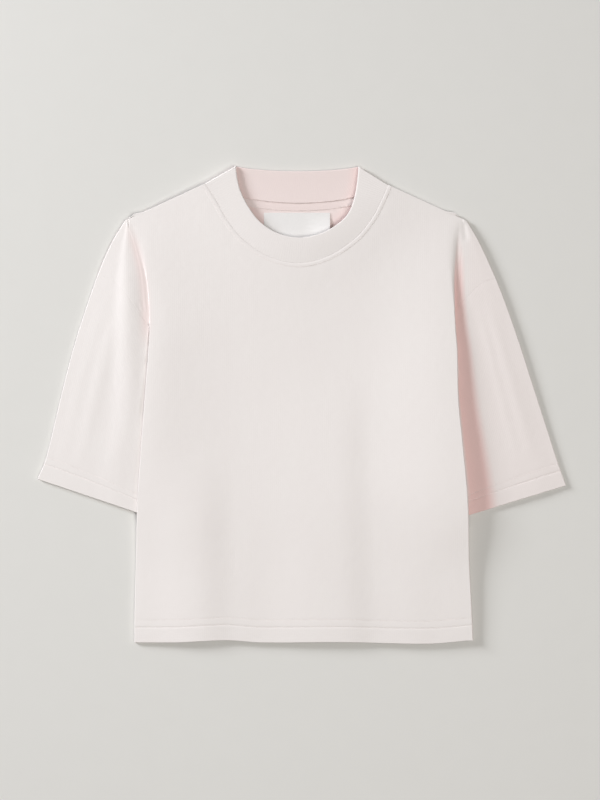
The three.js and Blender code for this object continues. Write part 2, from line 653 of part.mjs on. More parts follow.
function makeTape() {
  const sheet = new Sheet();
  const shares = [TAPE.ends[0], ...steps(...TAPE.ends, 10)];
  const rows = [TAPE.below + TAPE.width, TAPE.below].map((below) =>
    shares.map((t) => {
      const { x, y } = backSeam(t);
      return sheet.add(x, y - below, ON_BACK, TRIM);
    }),
  );
  sheet.join(rows);
  return sheet.wall(true);
}

function makeLabel() {
  const sheet = new Sheet();
  const across = [-0.5, ...steps(-0.5, 0.5, 4)];
  const rows = [1, ...steps(1, 0, 3)].map((down) => {
    const y = LABEL.top - down * LABEL.height;
    return across.map((share) => sheet.add(LABEL.x + share * LABEL.width, y, ON_BACK, TRIM));
  });
  sheet.join(rows);
  return sheet.wall(true);
}

addPiece("neck_tape", makeTape(), JERSEY);
addPiece("label", makeLabel(), LABEL_CLOTH);

export default root;
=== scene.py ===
import math

import bpy
import numpy as np
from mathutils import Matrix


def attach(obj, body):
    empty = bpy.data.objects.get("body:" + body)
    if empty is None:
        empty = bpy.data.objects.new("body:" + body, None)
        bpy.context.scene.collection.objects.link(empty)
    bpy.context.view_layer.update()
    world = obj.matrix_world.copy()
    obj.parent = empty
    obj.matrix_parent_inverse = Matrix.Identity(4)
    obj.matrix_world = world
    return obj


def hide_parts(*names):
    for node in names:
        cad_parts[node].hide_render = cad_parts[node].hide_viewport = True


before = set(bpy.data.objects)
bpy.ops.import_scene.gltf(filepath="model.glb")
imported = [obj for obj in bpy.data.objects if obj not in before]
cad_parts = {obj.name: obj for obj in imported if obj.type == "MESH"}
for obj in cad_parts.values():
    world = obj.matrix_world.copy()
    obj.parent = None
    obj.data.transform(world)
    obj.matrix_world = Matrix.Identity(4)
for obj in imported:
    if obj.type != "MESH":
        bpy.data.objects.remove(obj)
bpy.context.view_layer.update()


# The table top and the light. The garment is photographed straight from above on a pale, matt,
# slightly warm surface. Soft daylight comes in low from the left, and the room fills the shadows.

VIEW_CENTRE = (-0.0024, 0.006)
VIEW_HEIGHT = 0.96
CAMERA_UP = 2.6
SENSOR_HEIGHT = 24

camera_data = bpy.data.cameras.new("camera")
camera_data.sensor_fit = "VERTICAL"
camera_data.sensor_height = SENSOR_HEIGHT
camera_data.lens = SENSOR_HEIGHT * CAMERA_UP / VIEW_HEIGHT
camera = bpy.data.objects.new("camera", camera_data)
camera.location = (*VIEW_CENTRE, CAMERA_UP)
bpy.context.collection.objects.link(camera)
bpy.context.scene.camera = camera
bpy.context.scene.view_settings.view_transform = "Standard"

DAYLIGHT = (0.94, 0.965, 1)
ROOM_LIGHT = (1, 0.985, 0.95)
ROOM_STRENGTH = 0.12

# Each light shines from its place towards the middle of the garment
for name, kind, place, power, color, settings in (
    ("window", "AREA", (-3.54, 2.02, 1.35), 238, DAYLIGHT, {"size": 1.3}),
    ("lamp", "SUN", (0.62, -0.38, 1), 1.08, ROOM_LIGHT, {"angle": math.radians(25)}),
    ("ceiling", "AREA", (0.3, -0.28, 1.7), 8.7, ROOM_LIGHT, {"size": 1.3}),
):
    light = bpy.data.lights.new(name, kind)
    light.energy = power
    light.color = color
    for setting, value in settings.items():
        setattr(light, setting, value)
    lamp = bpy.data.objects.new(name, light)
    lamp.location = place
    across, onward, up = place
    lamp.rotation_euler = (math.atan2(math.hypot(across, onward), up), 0,
                           math.atan2(onward, across) + math.pi / 2)
    bpy.context.collection.objects.link(lamp)

room = bpy.data.worlds.new("room")
room.use_nodes = True
background = room.node_tree.nodes["Background"]
background.inputs["Color"].default_value = (*ROOM_LIGHT, 1)
background.inputs["Strength"].default_value = ROOM_STRENGTH
bpy.context.scene.world = room


class Shader:
    """A socket of a material's nodes. Arithmetic on it adds Math nodes."""

    def __init__(self, tree, socket=None):
        self.tree, self.socket = tree, socket

    def node(self, kind, settings=None, inputs=None, output=0):
        made = self.tree.nodes.new(kind)
        for key, value in (settings or {}).items():
            setattr(made, key, value)
        for key, value in (inputs or {}).items():
            if isinstance(value, Shader):
                self.tree.links.new(value.socket, made.inputs[key])
            else:
                made.inputs[key].default_value = value
        return Shader(self.tree, made.outputs[output])

    def math(self, operation, a, b):
        return self.node("ShaderNodeMath", {"operation": operation}, {0: a, 1: b})

    def __add__(self, other):
        return self.math("ADD", self, other)

    def __radd__(self, other):
        return self.math("ADD", other, self)

    def __mul__(self, other):
        return self.math("MULTIPLY", self, other)

    def __rmul__(self, other):
        return self.math("MULTIPLY", other, self)


SPECULAR = 0.25
SHEEN_ROUGHNESS = 0.6


def new_material(name, roughness, sheen=0.0):
    """A material with its Principled shader's constants set, its nodes, and the shader to link to."""
    material = bpy.data.materials.new(name)
    material.use_nodes = True
    tree = material.node_tree
    shader = tree.nodes["Principled BSDF"]
    shader.inputs["Roughness"].default_value = roughness
    shader.inputs["Specular IOR Level"].default_value = SPECULAR
    shader.inputs["Sheen Weight"].default_value = sheen
    shader.inputs["Sheen Roughness"].default_value = SHEEN_ROUGHNESS
    return material, Shader(tree), shader


def link(nodes, shader, name, value):
    nodes.tree.links.new(value.socket, shader.inputs[name])


def mixed(nodes, factor, a, b):
    """Two colours mixed by a socket."""
    return nodes.node(
        "ShaderNodeMix", {"data_type": "RGBA"}, {0: factor, 6: a, 7: b}, output=2
    )


def noise(nodes, vector, scale, detail):
    return nodes.node("ShaderNodeTexNoise", None, {"Vector": vector, "Scale": scale, "Detail": detail})


TABLE_TOP = (0.685, 0.67, 0.645, 1)
TABLE_FLECK = (0.7, 0.685, 0.66, 1)
TABLE_REACH = 4

table_paint, nodes, shader = new_material("table_paint", 0.75)
where = nodes.node("ShaderNodeTexCoord", output="Object")
grain = noise(nodes, where, 35, 4)
link(nodes, shader, "Base Color", mixed(nodes, grain, TABLE_TOP, TABLE_FLECK))
table = bpy.data.meshes.new("table_top")
corners = [(x * TABLE_REACH, y * TABLE_REACH, 0) for x, y in ((-1, -1), (1, -1), (1, 1), (-1, 1))]
table.from_pydata(corners, [], [(0, 1, 2, 3)])
table.materials.append(table_paint)
table_top = bpy.data.objects.new("table_top", table)
bpy.context.collection.objects.link(table_top)


# The front panel is one layer of soft pale pink single jersey, cut with wide dropped shoulders. It lies
# on the back and on both sleeves, with its sides rolled under, and its hem is turned up and stitched
# with two needles. Sizes are in millimetres and are made metres where a mesh is written.

CLOTH = 1.0
HEM_CLOTH = 1.6
HEM_DEPTH = 27
TUCKED = 3.6
SEAM_GAP = 0.3
SLEEVE_GAP = -0.15
UNDERARM_GAP = 0.8
SHOULDER_SEAM = 1.7
SHOULDER_ROLL = 0.4
SIDE_LIP = 25
SIDE_ROLL = 8
# How wide the body rounds over at its sides, and between which y that opens out to SIDE_ROLL, on the
# dropped shoulder
FOLD_ROLL = {"left": 0.22, "right": 0.8}
ROLL_OPENS = {"left": (145, 205), "right": (113, 183)}
# How much higher the front lies where a sleeve is under it, and how softly it gets there
OVER_SLEEVE = 1.4
OVER_SPREAD = 60


def table_of(names, rows):
    return dict(zip(names.split(), np.array(rows, float).T))


# Sections across the body, from the hem up: where its rolled sides are, and how high the front lies. At a
# side it rises from the middle over its reach, less a dip that is deepest at the very edge.
BODY = table_of(
    "y left right middleTop leftTop leftReach leftDip leftDipReach"
    " rightTop rightReach rightDip rightDipReach",
    [
        (-286, -201, 205.5, 5.5, 5.6, 60, 1.9, 45, 6.2, 60, -0.2, 12),
        (-234, -200.5, 203, 5.5, 5.7, 60, 2.3, 45, 7.6, 75, -0.3, 12),
        (-186, -199, 200.5, 5.6, 6, 60, 2.6, 42, 9.3, 90, -0.4, 12),
        (-114, -197, 198.5, 5.7, 6.7, 55, 1.6, 34, 14.2, 110, -0.4, 12),
        (-42, -192, 192, 5.6, 7.1, 50, 1.1, 22, 13.8, 100, -0.4, 12),
        (6, -188.5, 187.5, 5.6, 7.3, 46, 1, 15, 12.6, 90, -0.3, 12),
        (66, -184, 186, 5.6, 7.4, 45, 0.95, 12, 10.8, 75, -0.2, 12),
        (102, -182.5, 183.5, 5.8, 7.4, 45, 0.9, 11, 9.4, 65, -0.1, 12),
        (150, -186, 182.5, 6, 7.1, 45, 0.8, 10, 8.5, 55, 0, 12),
        (192, -195.5, 185, 6, 6.5, 42, 0.6, 9, 7, 45, 0, 12),
        (224, -206.5, 188.5, 6, 5.3, 40, 0.3, 9, 5.5, 40, 0, 12),
    ],
)
# Sections across a sleeve and the dropped shoulder above it: its outer edges, and on either side how high
# it lies beside the body, at its crest and at its outer edge, and where across it the crest is
ARM = table_of(
    "y left right leftFloor leftCrest leftRim leftAt rightFloor rightCrest rightRim rightAt",
    [
        (-97, -319, 317, 4.2, 4.4, 3.4, 0.2, 3.6, 4, 3.3, 0.25),
        (-88.5, -316.8, 314, 4.4, 4.6, 3.4, 0.2, 3.6, 4, 3.3, 0.25),
        (-66, -307.5, 306, 4.9, 5.1, 3.4, 0.2, 3.6, 4.1, 3.4, 0.24),
        (-18, -295.5, 290.5, 5.4, 5.8, 2.9, 0.17, 3.6, 4.3, 3.5, 0.23),
        (30, -284, 275, 5.5, 6.5, 2.8, 0.2, 3.6, 4.6, 4.1, 0.2),
        (78, -271, 259.5, 5.4, 7, 2.8, 0.28, 3.6, 4.8, 4.4, 0.18),
        (126, -255.5, 242.5, 5.2, 7.1, 2.9, 0.34, 3.6, 5, 4.6, 0.2),
        (150, -247, 233, 5.3, 6.7, 3.2, 0.38, 3.8, 5.2, 4.8, 0.22),
        (174, -237.5, 222.5, 5.3, 5.9, 3.6, 0.4, 4.2, 5.3, 5, 0.25),
        (198, -226, 211, 5.2, 5.5, 4, 0.4, 4.7, 5.4, 5.1, 0.3),
        (221, -212, 197.5, 5.2, 5.3, 4.4, 0.4, 5.2, 5.3, 4.8, 0.3),
    ],
)
# Where a sleeve dives under the body: how wide the ditch is, and between which y it fades away
DITCHES = {"left": (0.7, 84, 98), "right": (6, 150, 221)}
# Small creases: two ends, how wide and how high
CREASES = [
    (-197, 121, -187, 99, 1.5, -0.3),
    (-191, 121, -183.5, 95, 1.3, -0.3),
    (194, 214, 196, 201, 3.6, -0.55),
    (188, 126, 186, 110, 1.4, 0.3),
    (210, 122, 213, 96, 2.5, -0.2),
]
# How wide the strip of painted shade on the right sleeve is beside the body, in the body's shadow
SHADE = table_of("y width", [(-160, 36), (-114, 34), (6, 23), (66, 16), (126, 11), (174, 8), (204, 2)])
# Broad soft folds of the front: the line each follows, how far it reaches to either side, its height, and
# between which y it is full
FOLDS = table_of(
    "x leans before after height low high fade",
    [
        (-122, -0.02, 62, 46, 2.1, -290, -150, 110),
        (50, -0.03, 120, 40, 1.9, -270, -60, 120),
        (132, 0, 42, 36, 0.4, -300, -215, 60),
        (-40, 0.05, 40, 50, -0.5, -280, -200, 90),
    ],
)
HEM = table_of(
    "x y",
    [(-202, -284.4), (-150, -284), (-92, -281.4), (-50, -284.2), (45, -283.6), (150, -285.6), (206, -281)],
)
# Neck seam of the front from the left shoulder to the right one, with the collar's free edge beside it
FRONT_NECK = table_of(
    "x y freeX freeY",
    [
        (-116.4, 265.2, -79.4, 286.4),
        (-103.8, 246, -75.5, 262),
        (-90, 222, -66, 240.5),
        (-70.4, 198, -51, 220),
        (-41, 178.2, -30, 206.2),
        (-6, 169.8, -5, 200.4),
        (29, 177.2, 20, 204.6),
        (62, 198, 41, 215.4),
        (82.8, 222, 56, 230.5),
        (95.4, 246, 64.2, 254.5),
        (103.2, 264, 68, 286),
    ],
)
BACK_SEAM_DIP = 22.5
BACK_FREE_DIP = 6
COLLAR_SEAM_TOP = 7.2
COLLAR_FREE_TOP = 8.8
COLLAR_SIDE_TOP = 7
NECK_RISE = 30
SEAM_RIDGE = 0.22
SEAM_RIDGE_WIDTH = 5
SIDES = {
    "left": {
        "inward": 1,
        "corner": (-212, 221),
        "fold_top": (-206.5, 223.6),
        "armhole": [(-246, 153.5), (-229, 151.5), (-212.5, 136), (-198, 115), (-183, 92.4)],
        "tucked": [(-183, 92.4), (-180.5, 76), (-166, 60), (-146, 46)],
        "cuff": [(-316.8, -88.5), (-198, -128.4), (-164, -140)],
    },
    "right": {
        "inward": -1,
        "corner": (197.5, 221),
        "fold_top": (188.5, 225.1),
        "armhole": [(232.5, 151.5), (216, 146.5), (199, 131), (190, 121), (183.4, 112.8)],
        "tucked": [(183.4, 112.8), (181, 97), (168, 80), (148, 66)],
        "cuff": [(316.8, -96), (200.5, -131.4), (166, -142)],
    },
}
# How much painted shade makes the cloth pinker in the slight fold on the left, and all over the right
# sleeve, which lies away from the window
SLIGHT_PAINTED_SHADE = 0.35
SLEEVE_PAINTED_SHADE = 0.1
# How far in from its side the body lies on a sleeve, and how it climbs onto it
TUCK = 43
TUCK_CLEAR = 4
TUCK_RAMP = 14
ROLL_STEPS = 9


def along(table, column, at, key="y"):
    """The table's column where its key is at, on a smooth curve through the rows."""
    keys, values = table[key], table[column]
    slopes = np.gradient(values, keys)
    slopes[1:-1] = (values[2:] - values[:-2]) / (keys[2:] - keys[:-2])
    at = np.asarray(at, float)
    row = np.clip(np.searchsorted(keys, at) - 1, 0, len(keys) - 2)
    span = keys[row + 1] - keys[row]
    t = np.clip((at - keys[row]) / span, 0, 1)
    ends = values[row] + (values[row + 1] - values[row]) * t * t * (3 - 2 * t)
    return ends + span * t * (1 - t) * (slopes[row] * (1 - t) - slopes[row + 1] * t)


def smoothstep(at, low, high):
    t = np.clip((np.asarray(at, float) - low) / (high - low), 0, 1)
    return t * t * (3 - 2 * t)


def lerp(a, b, t):
    return a + (b - a) * t


def round_over(share):
    return np.sqrt(1 - (1 - np.clip(share, 0, 1)) ** 2)


def steps(low, high, count):
    return list(lerp(low, high, (np.arange(count) + 1) / count))


def smooth_curve(points):
    """A Catmull-Rom curve through plan points, as a function of 0 to 1 in equal spans."""
    points = np.array(points, float)
    last = len(points) - 1

    def at(t):
        place = np.clip(np.asarray(t, float), 0, 1) * last
        span = np.minimum(place.astype(int), last - 1)
        w = (place - span)[..., None]
        before = points[np.where(span == 0, span, span - 1)]
        a, b = points[span], points[span + 1]
        after = points[np.where(span > last - 2, last, span + 2)]
        v0, v1 = (b - before) / 2, (after - a) / 2
        return (
            (2 * a - 2 * b + v0 + v1) * w**3
            + (-3 * a + 3 * b - 2 * v0 - v1) * w**2
            + v0 * w
            + a
        )

    return at


def run_along(chain):
    """How far along a chain each of its points lies."""
    return np.concatenate([[0], np.cumsum(np.linalg.norm(np.diff(chain, axis=0), axis=1))])


def evenly(curve, count=400):
    """The same curve as a function of the share of its length, and that length."""
    run = run_along(curve(np.linspace(0, 1, count)))

    def at(share):
        place = np.interp(np.asarray(share, float) * run[-1], run, np.linspace(0, 1, count))
        return curve(place)

    return at, run[-1]


def distance_to(chain, x, y):
    nearest = np.full(np.broadcast(x, y).shape, np.inf)
    for a, b in zip(chain[:-1], chain[1:]):
        dx, dy = b - a
        t = np.clip(((x - a[0]) * dx + (y - a[1]) * dy) / (dx * dx + dy * dy), 0, 1)
        nearest = np.minimum(nearest, np.hypot(x - a[0] - t * dx, y - a[1] - t * dy))
    return nearest


def patch(first, last, start, end):
    """The plan surface between four curves: first and last are crossed by start and end."""
    f0, f1, l0, l1 = first(0.0), first(1.0), last(0.0), last(1.0)

    def at(s, t):
        s, t = np.asarray(s, float), np.asarray(t, float)
        s1, t1 = s[..., None], t[..., None]
        across = lerp(first(t), last(t), s1)
        onward = lerp(start(s), end(s), t1)
        return across + onward - lerp(lerp(f0, f1, t1), lerp(l0, l1, t1), s1)

    return at


def straight(a, b):
    a, b = np.array(a, float), np.array(b, float)
    return lambda t: lerp(a, b, np.asarray(t, float)[..., None])


def plan(x, y):
    return np.stack(np.broadcast_arrays(np.asarray(x, float), np.asarray(y, float)), axis=-1)


def body_side(side, y):
    return plan(along(BODY, side, y), y)


def arm_edge(side, y):
    return plan(along(ARM, side, y), y)


def hem_edge(x):
    return along(HEM, "y", x, "x")


front_seam = smooth_curve(np.stack([FRONT_NECK["x"], FRONT_NECK["y"]], axis=1))
front_free = smooth_curve(np.stack([FRONT_NECK["freeX"], FRONT_NECK["freeY"]], axis=1))
front_seam_chain = front_seam(np.linspace(0, 1, 90))


def dipped(curve, dip):
    """Straight across between a curve's ends, with a dip."""
    a, b = curve(0.0), curve(1.0)

    def at(t):
        t = np.asarray(t, float)
        return lerp(a, b, t[..., None]) - plan(0, dip * (1 - (2 * t - 1) ** 2) ** 0.8)

    return at


back_seam = dipped(front_seam, BACK_SEAM_DIP)
back_free = dipped(front_free, BACK_FREE_DIP)
armholes = {side: evenly(smooth_curve(points["armhole"])) for side, points in SIDES.items()}
tucked_armholes = {side: evenly(smooth_curve(points["tucked"])) for side, points in SIDES.items()}
shoulder_chains = {}
for side, points in SIDES.items():
    neck = front_seam(0.0 if side == "left" else 1.0)
    y = np.linspace(points["corner"][1], points["armhole"][0][1], 24)
    shoulder_chains[side] = np.array([neck, *arm_edge(side, y)], float)
underarm = {side: points["armhole"][-1][1] for side, points in SIDES.items()}


def inside(side, x, y):
    return SIDES[side]["inward"] * (x - along(BODY, side, y))


def tucked_span(side, inward):
    """The y between which the body lies fully on a sleeve."""
    points = SIDES[side]
    share = np.clip(inward / TUCK, 0, 1)
    bottom = lerp(points["cuff"][1][1], points["cuff"][2][1], share) - TUCK_CLEAR
    return bottom, points["tucked"][1][1] + TUCK_CLEAR


def over_sleeve(x, y, spread=0):
    """1 where the body lies on a sleeve, 0 where it lies on the table. spread softens its edges."""
    over = 0
    for side in SIDES:
        inward = inside(side, x, y)
        bottom, top = tucked_span(side, inward)
        lengthwise = smoothstep(y, bottom - TUCK_RAMP - spread, bottom)
        lengthwise = lengthwise * (1 - smoothstep(y, top - spread / 4, underarm[side] + spread))
        across = 1 - smoothstep(inward, TUCK - spread / 2, TUCK + TUCK_RAMP + spread)
        over = np.maximum(over, lengthwise * across)
    return over


def underside(x, y):
    return over_sleeve(x, y) * (TUCKED + SEAM_GAP)


def body_top(x, y):
    """Height of the front's upper face between its sides."""
    middle = along(BODY, "middleTop", y)
    z = middle + OVER_SLEEVE * over_sleeve(x, y, OVER_SPREAD)
    for side in SIDES:
        inward = inside(side, x, y)
        rise = along(BODY, side + "Top", y) - middle
        z = z + rise * np.exp(-((inward / along(BODY, side + "Reach", y)) ** 2))
        dip_reach = along(BODY, side + "DipReach", y)
        z = z - along(BODY, side + "Dip", y) * np.exp(-np.maximum(inward, 0) / dip_reach)
    for crest, leans, before, after, height, low, high, fade in zip(*FOLDS.values()):
        across = x - crest - leans * (y - low)
        reach = np.minimum(np.abs(across) / np.where(across < 0, before, after), 1)
        lengthwise = smoothstep(y, low - fade, low) * (1 - smoothstep(y, high, high + fade))
        z = z + height * lengthwise * np.cos(reach * np.pi / 2) ** 2
    near = np.exp(-((distance_to(front_seam_chain, x, y) / NECK_RISE) ** 2))
    return lerp(z, COLLAR_SEAM_TOP, near)


def arm_top(side, x, y):
    """Height of the upper face of a sleeve, or of the dropped shoulder above it."""
    fold = along(BODY, side, y)
    out = np.clip((x - fold) / (along(ARM, side, y) - fold), 0, 1)
    floor, crest, rim, at = (along(ARM, side + column, y) for column in ("Floor", "Crest", "Rim", "At"))
    if side == "left":
        fall = 0.5 * smoothstep(out, at, at + 0.25) + 0.5 * np.clip((out - at - 0.1) / (0.9 - at), 0, 1)
    else:
        fall = smoothstep(out, 0.7, 1)
    z = lerp(lerp(floor, crest, smoothstep(out, 0, at)), rim, fall)
    ditch_width, fade_from, fade_to = DITCHES[side]
    ditch = (floor - TUCKED) * (1 - smoothstep(y, fade_from, fade_to))
    return z - ditch * (1 - smoothstep(np.abs(x - fold), 0, ditch_width))


def finished(x, y, z):
    """The front rounded over along the shoulders, with a ridge beside the neck seam and small creases."""
    away = np.minimum(*(distance_to(chain, x, y) for chain in shoulder_chains.values()))
    ridge = distance_to(front_seam_chain, x, y) / SEAM_RIDGE_WIDTH
    raised = SEAM_RIDGE * smoothstep(ridge, 0, 0.3) * (1 - smoothstep(ridge, 0.7, 1))
    for x0, y0, x1, y1, width, height in CREASES:
        reach = distance_to(np.array([(x0, y0), (x1, y1)], float), x, y) / width
        raised = raised + height * np.exp(-(reach**2))
    return lerp(SHOULDER_SEAM, z + raised, round_over(away / SHOULDER_ROLL))


def hem_cloth(from_edge):
    return lerp(HEM_CLOTH, CLOTH, smoothstep(from_edge, HEM_DEPTH, HEM_DEPTH + 1.5))


def painted_fold_shade(x, y):
    """How much painted shade makes the cloth pinker: deep in the fold on the right, where the body casts
    its shadow, a little over the rest of the right sleeve, and slight in the fold on the left.
    """
    width = along(SHADE, "width", y)
    beside = -inside("right", x, y)
    deep_shade = smoothstep(beside, -1, 1) * (1 - smoothstep(beside, 0.6 * width, width + 5))
    deep_shade = deep_shade * smoothstep(215 - y, 0, 80) + SLEEVE_PAINTED_SHADE * smoothstep(beside, 4, 24)
    slight_shade = SLIGHT_PAINTED_SHADE * np.exp(-(((inside("left", x, y) + 5) / 6) ** 2))
    slight_shade = slight_shade * smoothstep(y, 60, 105) * smoothstep(225 - y, 0, 40)
    return np.where(x > 0, deep_shade, slight_shade)


def stitch_dip(from_edge):
    """How far the two rows of stitches pull the cloth in."""
    rows = zip(HEM_STITCHES, STITCH_DIPS)
    return sum(dip * np.exp(-(((from_edge - row) / STITCH_REACH) ** 2)) for row, dip in rows)


# How far a cut edge bulges, as a share of its cloth's thickness
RIM_BULGE = 0.3


class Sheet:
    """One face of a piece of cloth, as grids of points. wall() adds the other face and the edges."""

    def __init__(self):
        self.points, self.thickness, self.inset, self.weave, self.quads = [], [], [], [], []
        self.painted_shade = []

    def add(self, x, y, z, thickness=CLOTH, inset=0.0, weave=None, painted_shade=0.0):
        """Adds points and gives their numbers. weave is the place in the cloth, in millimetres. The last
        argument is painted shade: a deeper pink painted on for the shade and pink bounced light in a fold."""
        x, y, z, thickness, inset, painted_shade = np.broadcast_arrays(x, y, z, thickness, inset, painted_shade)
        self.painted_shade.append(painted_shade.ravel())
        first = sum(len(part) for part in self.points)
        self.points.append(np.stack([x, y, z], axis=-1).reshape(-1, 3))
        self.thickness.append(thickness.ravel())
        self.inset.append(inset.ravel())
        self.weave.append((plan(x, y) if weave is None else np.asarray(weave)).reshape(-1, 2))
        return np.arange(first, first + x.size).reshape(x.shape)

    def join(self, rows):
        """Seen from this face's own side, a row runs to the right and the next lies above it."""
        rows = np.asarray(rows)
        quads = np.stack([rows[:-1, :-1], rows[:-1, 1:], rows[1:, 1:], rows[1:, :-1]], axis=-1)
        self.quads.append(quads.reshape(-1, 4))

    def wall(self, name, material, is_underside=False):
        """The finished piece. The cloth lies below this face, or above it if this is its underside."""
        points, quads = np.concatenate(self.points), np.concatenate(self.quads)
        thickness, inset = np.concatenate(self.thickness), np.concatenate(self.inset)
        normals = np.zeros_like(points)
        crossed = np.cross(
            points[quads[:, 2]] - points[quads[:, 0]], points[quads[:, 3]] - points[quads[:, 1]]
        )
        for corner in range(4):
            np.add.at(normals, quads[:, corner], crossed)
        normals /= np.linalg.norm(normals, axis=1)[:, None]
        away = normals * (1 if is_underside else -1)
        near, far = points + away * inset[:, None], points + away * (inset + thickness)[:, None]

        count = len(points)
        edges = np.concatenate([quads[:, [i, (i + 1) % 4]] for i in range(4)])
        codes = edges[:, 0] * count + edges[:, 1]
        rim = edges[~np.isin(codes, edges[:, 1] * count + edges[:, 0])]
        outward = np.zeros_like(points)
        tangent = points[rim[:, 1]] - points[rim[:, 0]]
        for end in range(2):
            np.add.at(outward, rim[:, end], np.cross(tangent, normals[rim[:, end]]))
        border = np.unique(rim)
        outward = outward[border] / np.linalg.norm(outward[border], axis=1)[:, None]
        bulge = (near[border] + far[border]) / 2 + outward * (RIM_BULGE * thickness[border])[:, None]
        numbers = np.zeros(count, int)
        numbers[border] = 2 * count + np.arange(len(border))
        a, b = rim.T
        faces = np.concatenate(
            [
                quads,
                quads[:, ::-1] + count,
                np.stack([b, a, numbers[a], numbers[b]], axis=1),
                np.stack([numbers[b], numbers[a], a + count, b + count], axis=1),
            ]
        )
        if is_underside:
            faces = faces[:, ::-1]
        mesh = bpy.data.meshes.new(name)
        every = np.concatenate([near, far, bulge]) / 1000
        mesh.from_pydata(every.tolist(), [], faces.tolist())
        weave = np.concatenate(self.weave)
        weave = np.concatenate([weave, weave, weave[border]]) / 1000
        cloth = mesh.uv_layers.new(name="cloth")
        corners = np.empty(len(mesh.loops), np.int32)
        mesh.loops.foreach_get("vertex_index", corners)
        cloth.data.foreach_set("uv", weave[corners].ravel())
        # The painted shade is kept on the points, for the cloth's material to mix in
        painted_shade = np.concatenate(self.painted_shade)
        shade = mesh.attributes.new("painted_shade", "FLOAT", "POINT")
        shade.data.foreach_set("value", np.concatenate([painted_shade, painted_shade, painted_shade[border]]))
        mesh.shade_smooth()
        on_rim = np.zeros(len(every), bool)
        on_rim[border] = on_rim[border + count] = True
        ends = np.empty(2 * len(mesh.edges), np.int32)
        mesh.edges.foreach_get("vertices", ends)
        sharp = mesh.attributes.new("sharp_edge", "BOOLEAN", "EDGE")
        sharp.data.foreach_set("value", on_rim[ends].reshape(-1, 2).all(axis=1))
        mesh.materials.append(material)
        piece = bpy.data.objects.new(name, mesh)
        bpy.context.collection.objects.link(piece)
        return piece


# Rows up a column of a body panel, close together at the hem's stitching and at the top edge. Between
# them are the lower body, a ramp onto the sleeve, the length on it, a ramp down, and the upper body
HEM_ROWS = [0, 0.5, 1.4, 3, 6, 9, 12, 14.6, 16.2, 17, 17.5, 18, 18.5, 19, 19.8, 21.4, 23.2, 25]
HEM_ROWS += [25.8, 26.3, 26.8, 27.3, 27.8, 28.6, 30.2]
HEM_STITCHES = (18, 26.8)
STITCH_DIPS = (0.3, 0.12)
STITCH_REACH = 0.8
TOP_ROWS = [14, 12, 10, 8.4, 7, 6, 5, 4, 3.2, 2.5, 1.9, 1.3, 0.8, 0.4, 0.12, 0]
TOP_DEPTH = 16
LOWER_ROWS, RAMP_ROWS, TUCK_ROWS, UPPER_ROWS = 26, 6, 60, 32
UNDERARM_ROW = len(HEM_ROWS) + LOWER_ROWS + 2 * RAMP_ROWS + TUCK_ROWS - 1
# Where the neck's ends lie in from the side, and the y above which the columns turn towards them
NECK_INSET = 78
TURN_FROM = 150


def row_heights(low, marks, high):
    bottom, top, underarm_y = marks
    return np.array(
        [
            *(low + np.array(HEM_ROWS)),
            *steps(low + HEM_ROWS[-1], bottom - TUCK_RAMP, LOWER_ROWS),
            *steps(bottom - TUCK_RAMP, bottom, RAMP_ROWS),
            *steps(bottom, top, TUCK_ROWS),
            *steps(top, underarm_y, RAMP_ROWS),
            *steps(underarm_y, high - TOP_DEPTH, UPPER_ROWS),
            *(high - np.array(TOP_ROWS)),
        ]
    )


def panel_columns(insets, neck_points, hem_shift, gap):
    """Plan points of a body panel, in columns from its left side to its right one. A column keeps its
    inset from the body's side up to the underarm, and then turns to its own end."""

    def side_x(side, inset, end_x, end_y, y):
        turned = end_x - along(BODY, side, end_y)
        held = SIDES[side]["inward"] * inset
        return along(BODY, side, y) + lerp(held, turned, smoothstep(y, TURN_FROM, end_y))

    def marks(side, inset):
        return np.array([*tucked_span(side, inset - SIDE_ROLL / 2), underarm[side] + gap])

    def column(end, x_at, row_marks):
        y = row_heights(hem_edge(x_at(HEM["y"][0])) + hem_shift, row_marks, end[1])
        return plan(x_at(y), y)

    def beside(side, neck):
        top = np.array(SIDES[side]["fold_top"], float)
        start = insets[0] / abs(neck[0] - top[0])
        for inset in insets:
            share = inset / NECK_INSET
            end = lerp(top, neck, share + start * (1 - share))
            yield column(end, lambda y: side_x(side, inset, *end, y), marks(side, inset))

    first, last = neck_points[0], neck_points[-1]
    left, right = marks("left", NECK_INSET), marks("right", NECK_INSET)
    middle = []
    for end in neck_points:
        share = (end[0] - first[0]) / (last[0] - first[0])

        def x_at(y):
            left_x = side_x("left", NECK_INSET, first[0], end[1], y)
            return lerp(left_x, side_x("right", NECK_INSET, last[0], end[1], y), share)

        middle.append(column(end, x_at, lerp(left, right, share)))
    return [*beside("left", first), *middle, *list(beside("right", last))[::-1]]


def eased(count, fine):
    """Shares from 0 to 1, closer together at both ends."""
    t = np.linspace(0, 1, count)
    return t - fine * np.sin(2 * np.pi * t) / (2 * np.pi)


def roll_offset(turn):
    return SIDE_ROLL * (1 - np.cos(turn)) ** 1.6


def side_roll(side, y, turn, on_arm):
    """A point of the roll at the body's side. A turn of 0 is at the side, and 90 degrees on top."""
    inward = SIDES[side]["inward"]
    offset = roll_offset(turn)
    x = along(BODY, side, y) + np.where(on_arm & (np.asarray(turn) < 0), -inward, inward) * offset
    top = body_top(x, y)
    bottom = np.where(on_arm, np.minimum(arm_top(side, x, y), top), underside(x, y))
    width = lerp(FOLD_ROLL[side], SIDE_ROLL, on_arm * smoothstep(y, *ROLL_OPENS[side]))
    upright = np.where(on_arm, smoothstep((top - bottom) / 2, 1, 2.5), 1)
    share = np.clip(offset / width, 0, 1)
    step = lerp(np.sin(share * np.pi / 2), round_over(share), upright)
    return x, lerp(bottom, top, (1 + np.sign(turn) * step) / 2)


FREE_STEPS = 24
ROUND_INSETS = np.array([0, 0.03, 0.12, 0.35, 0.9, 2, 4])


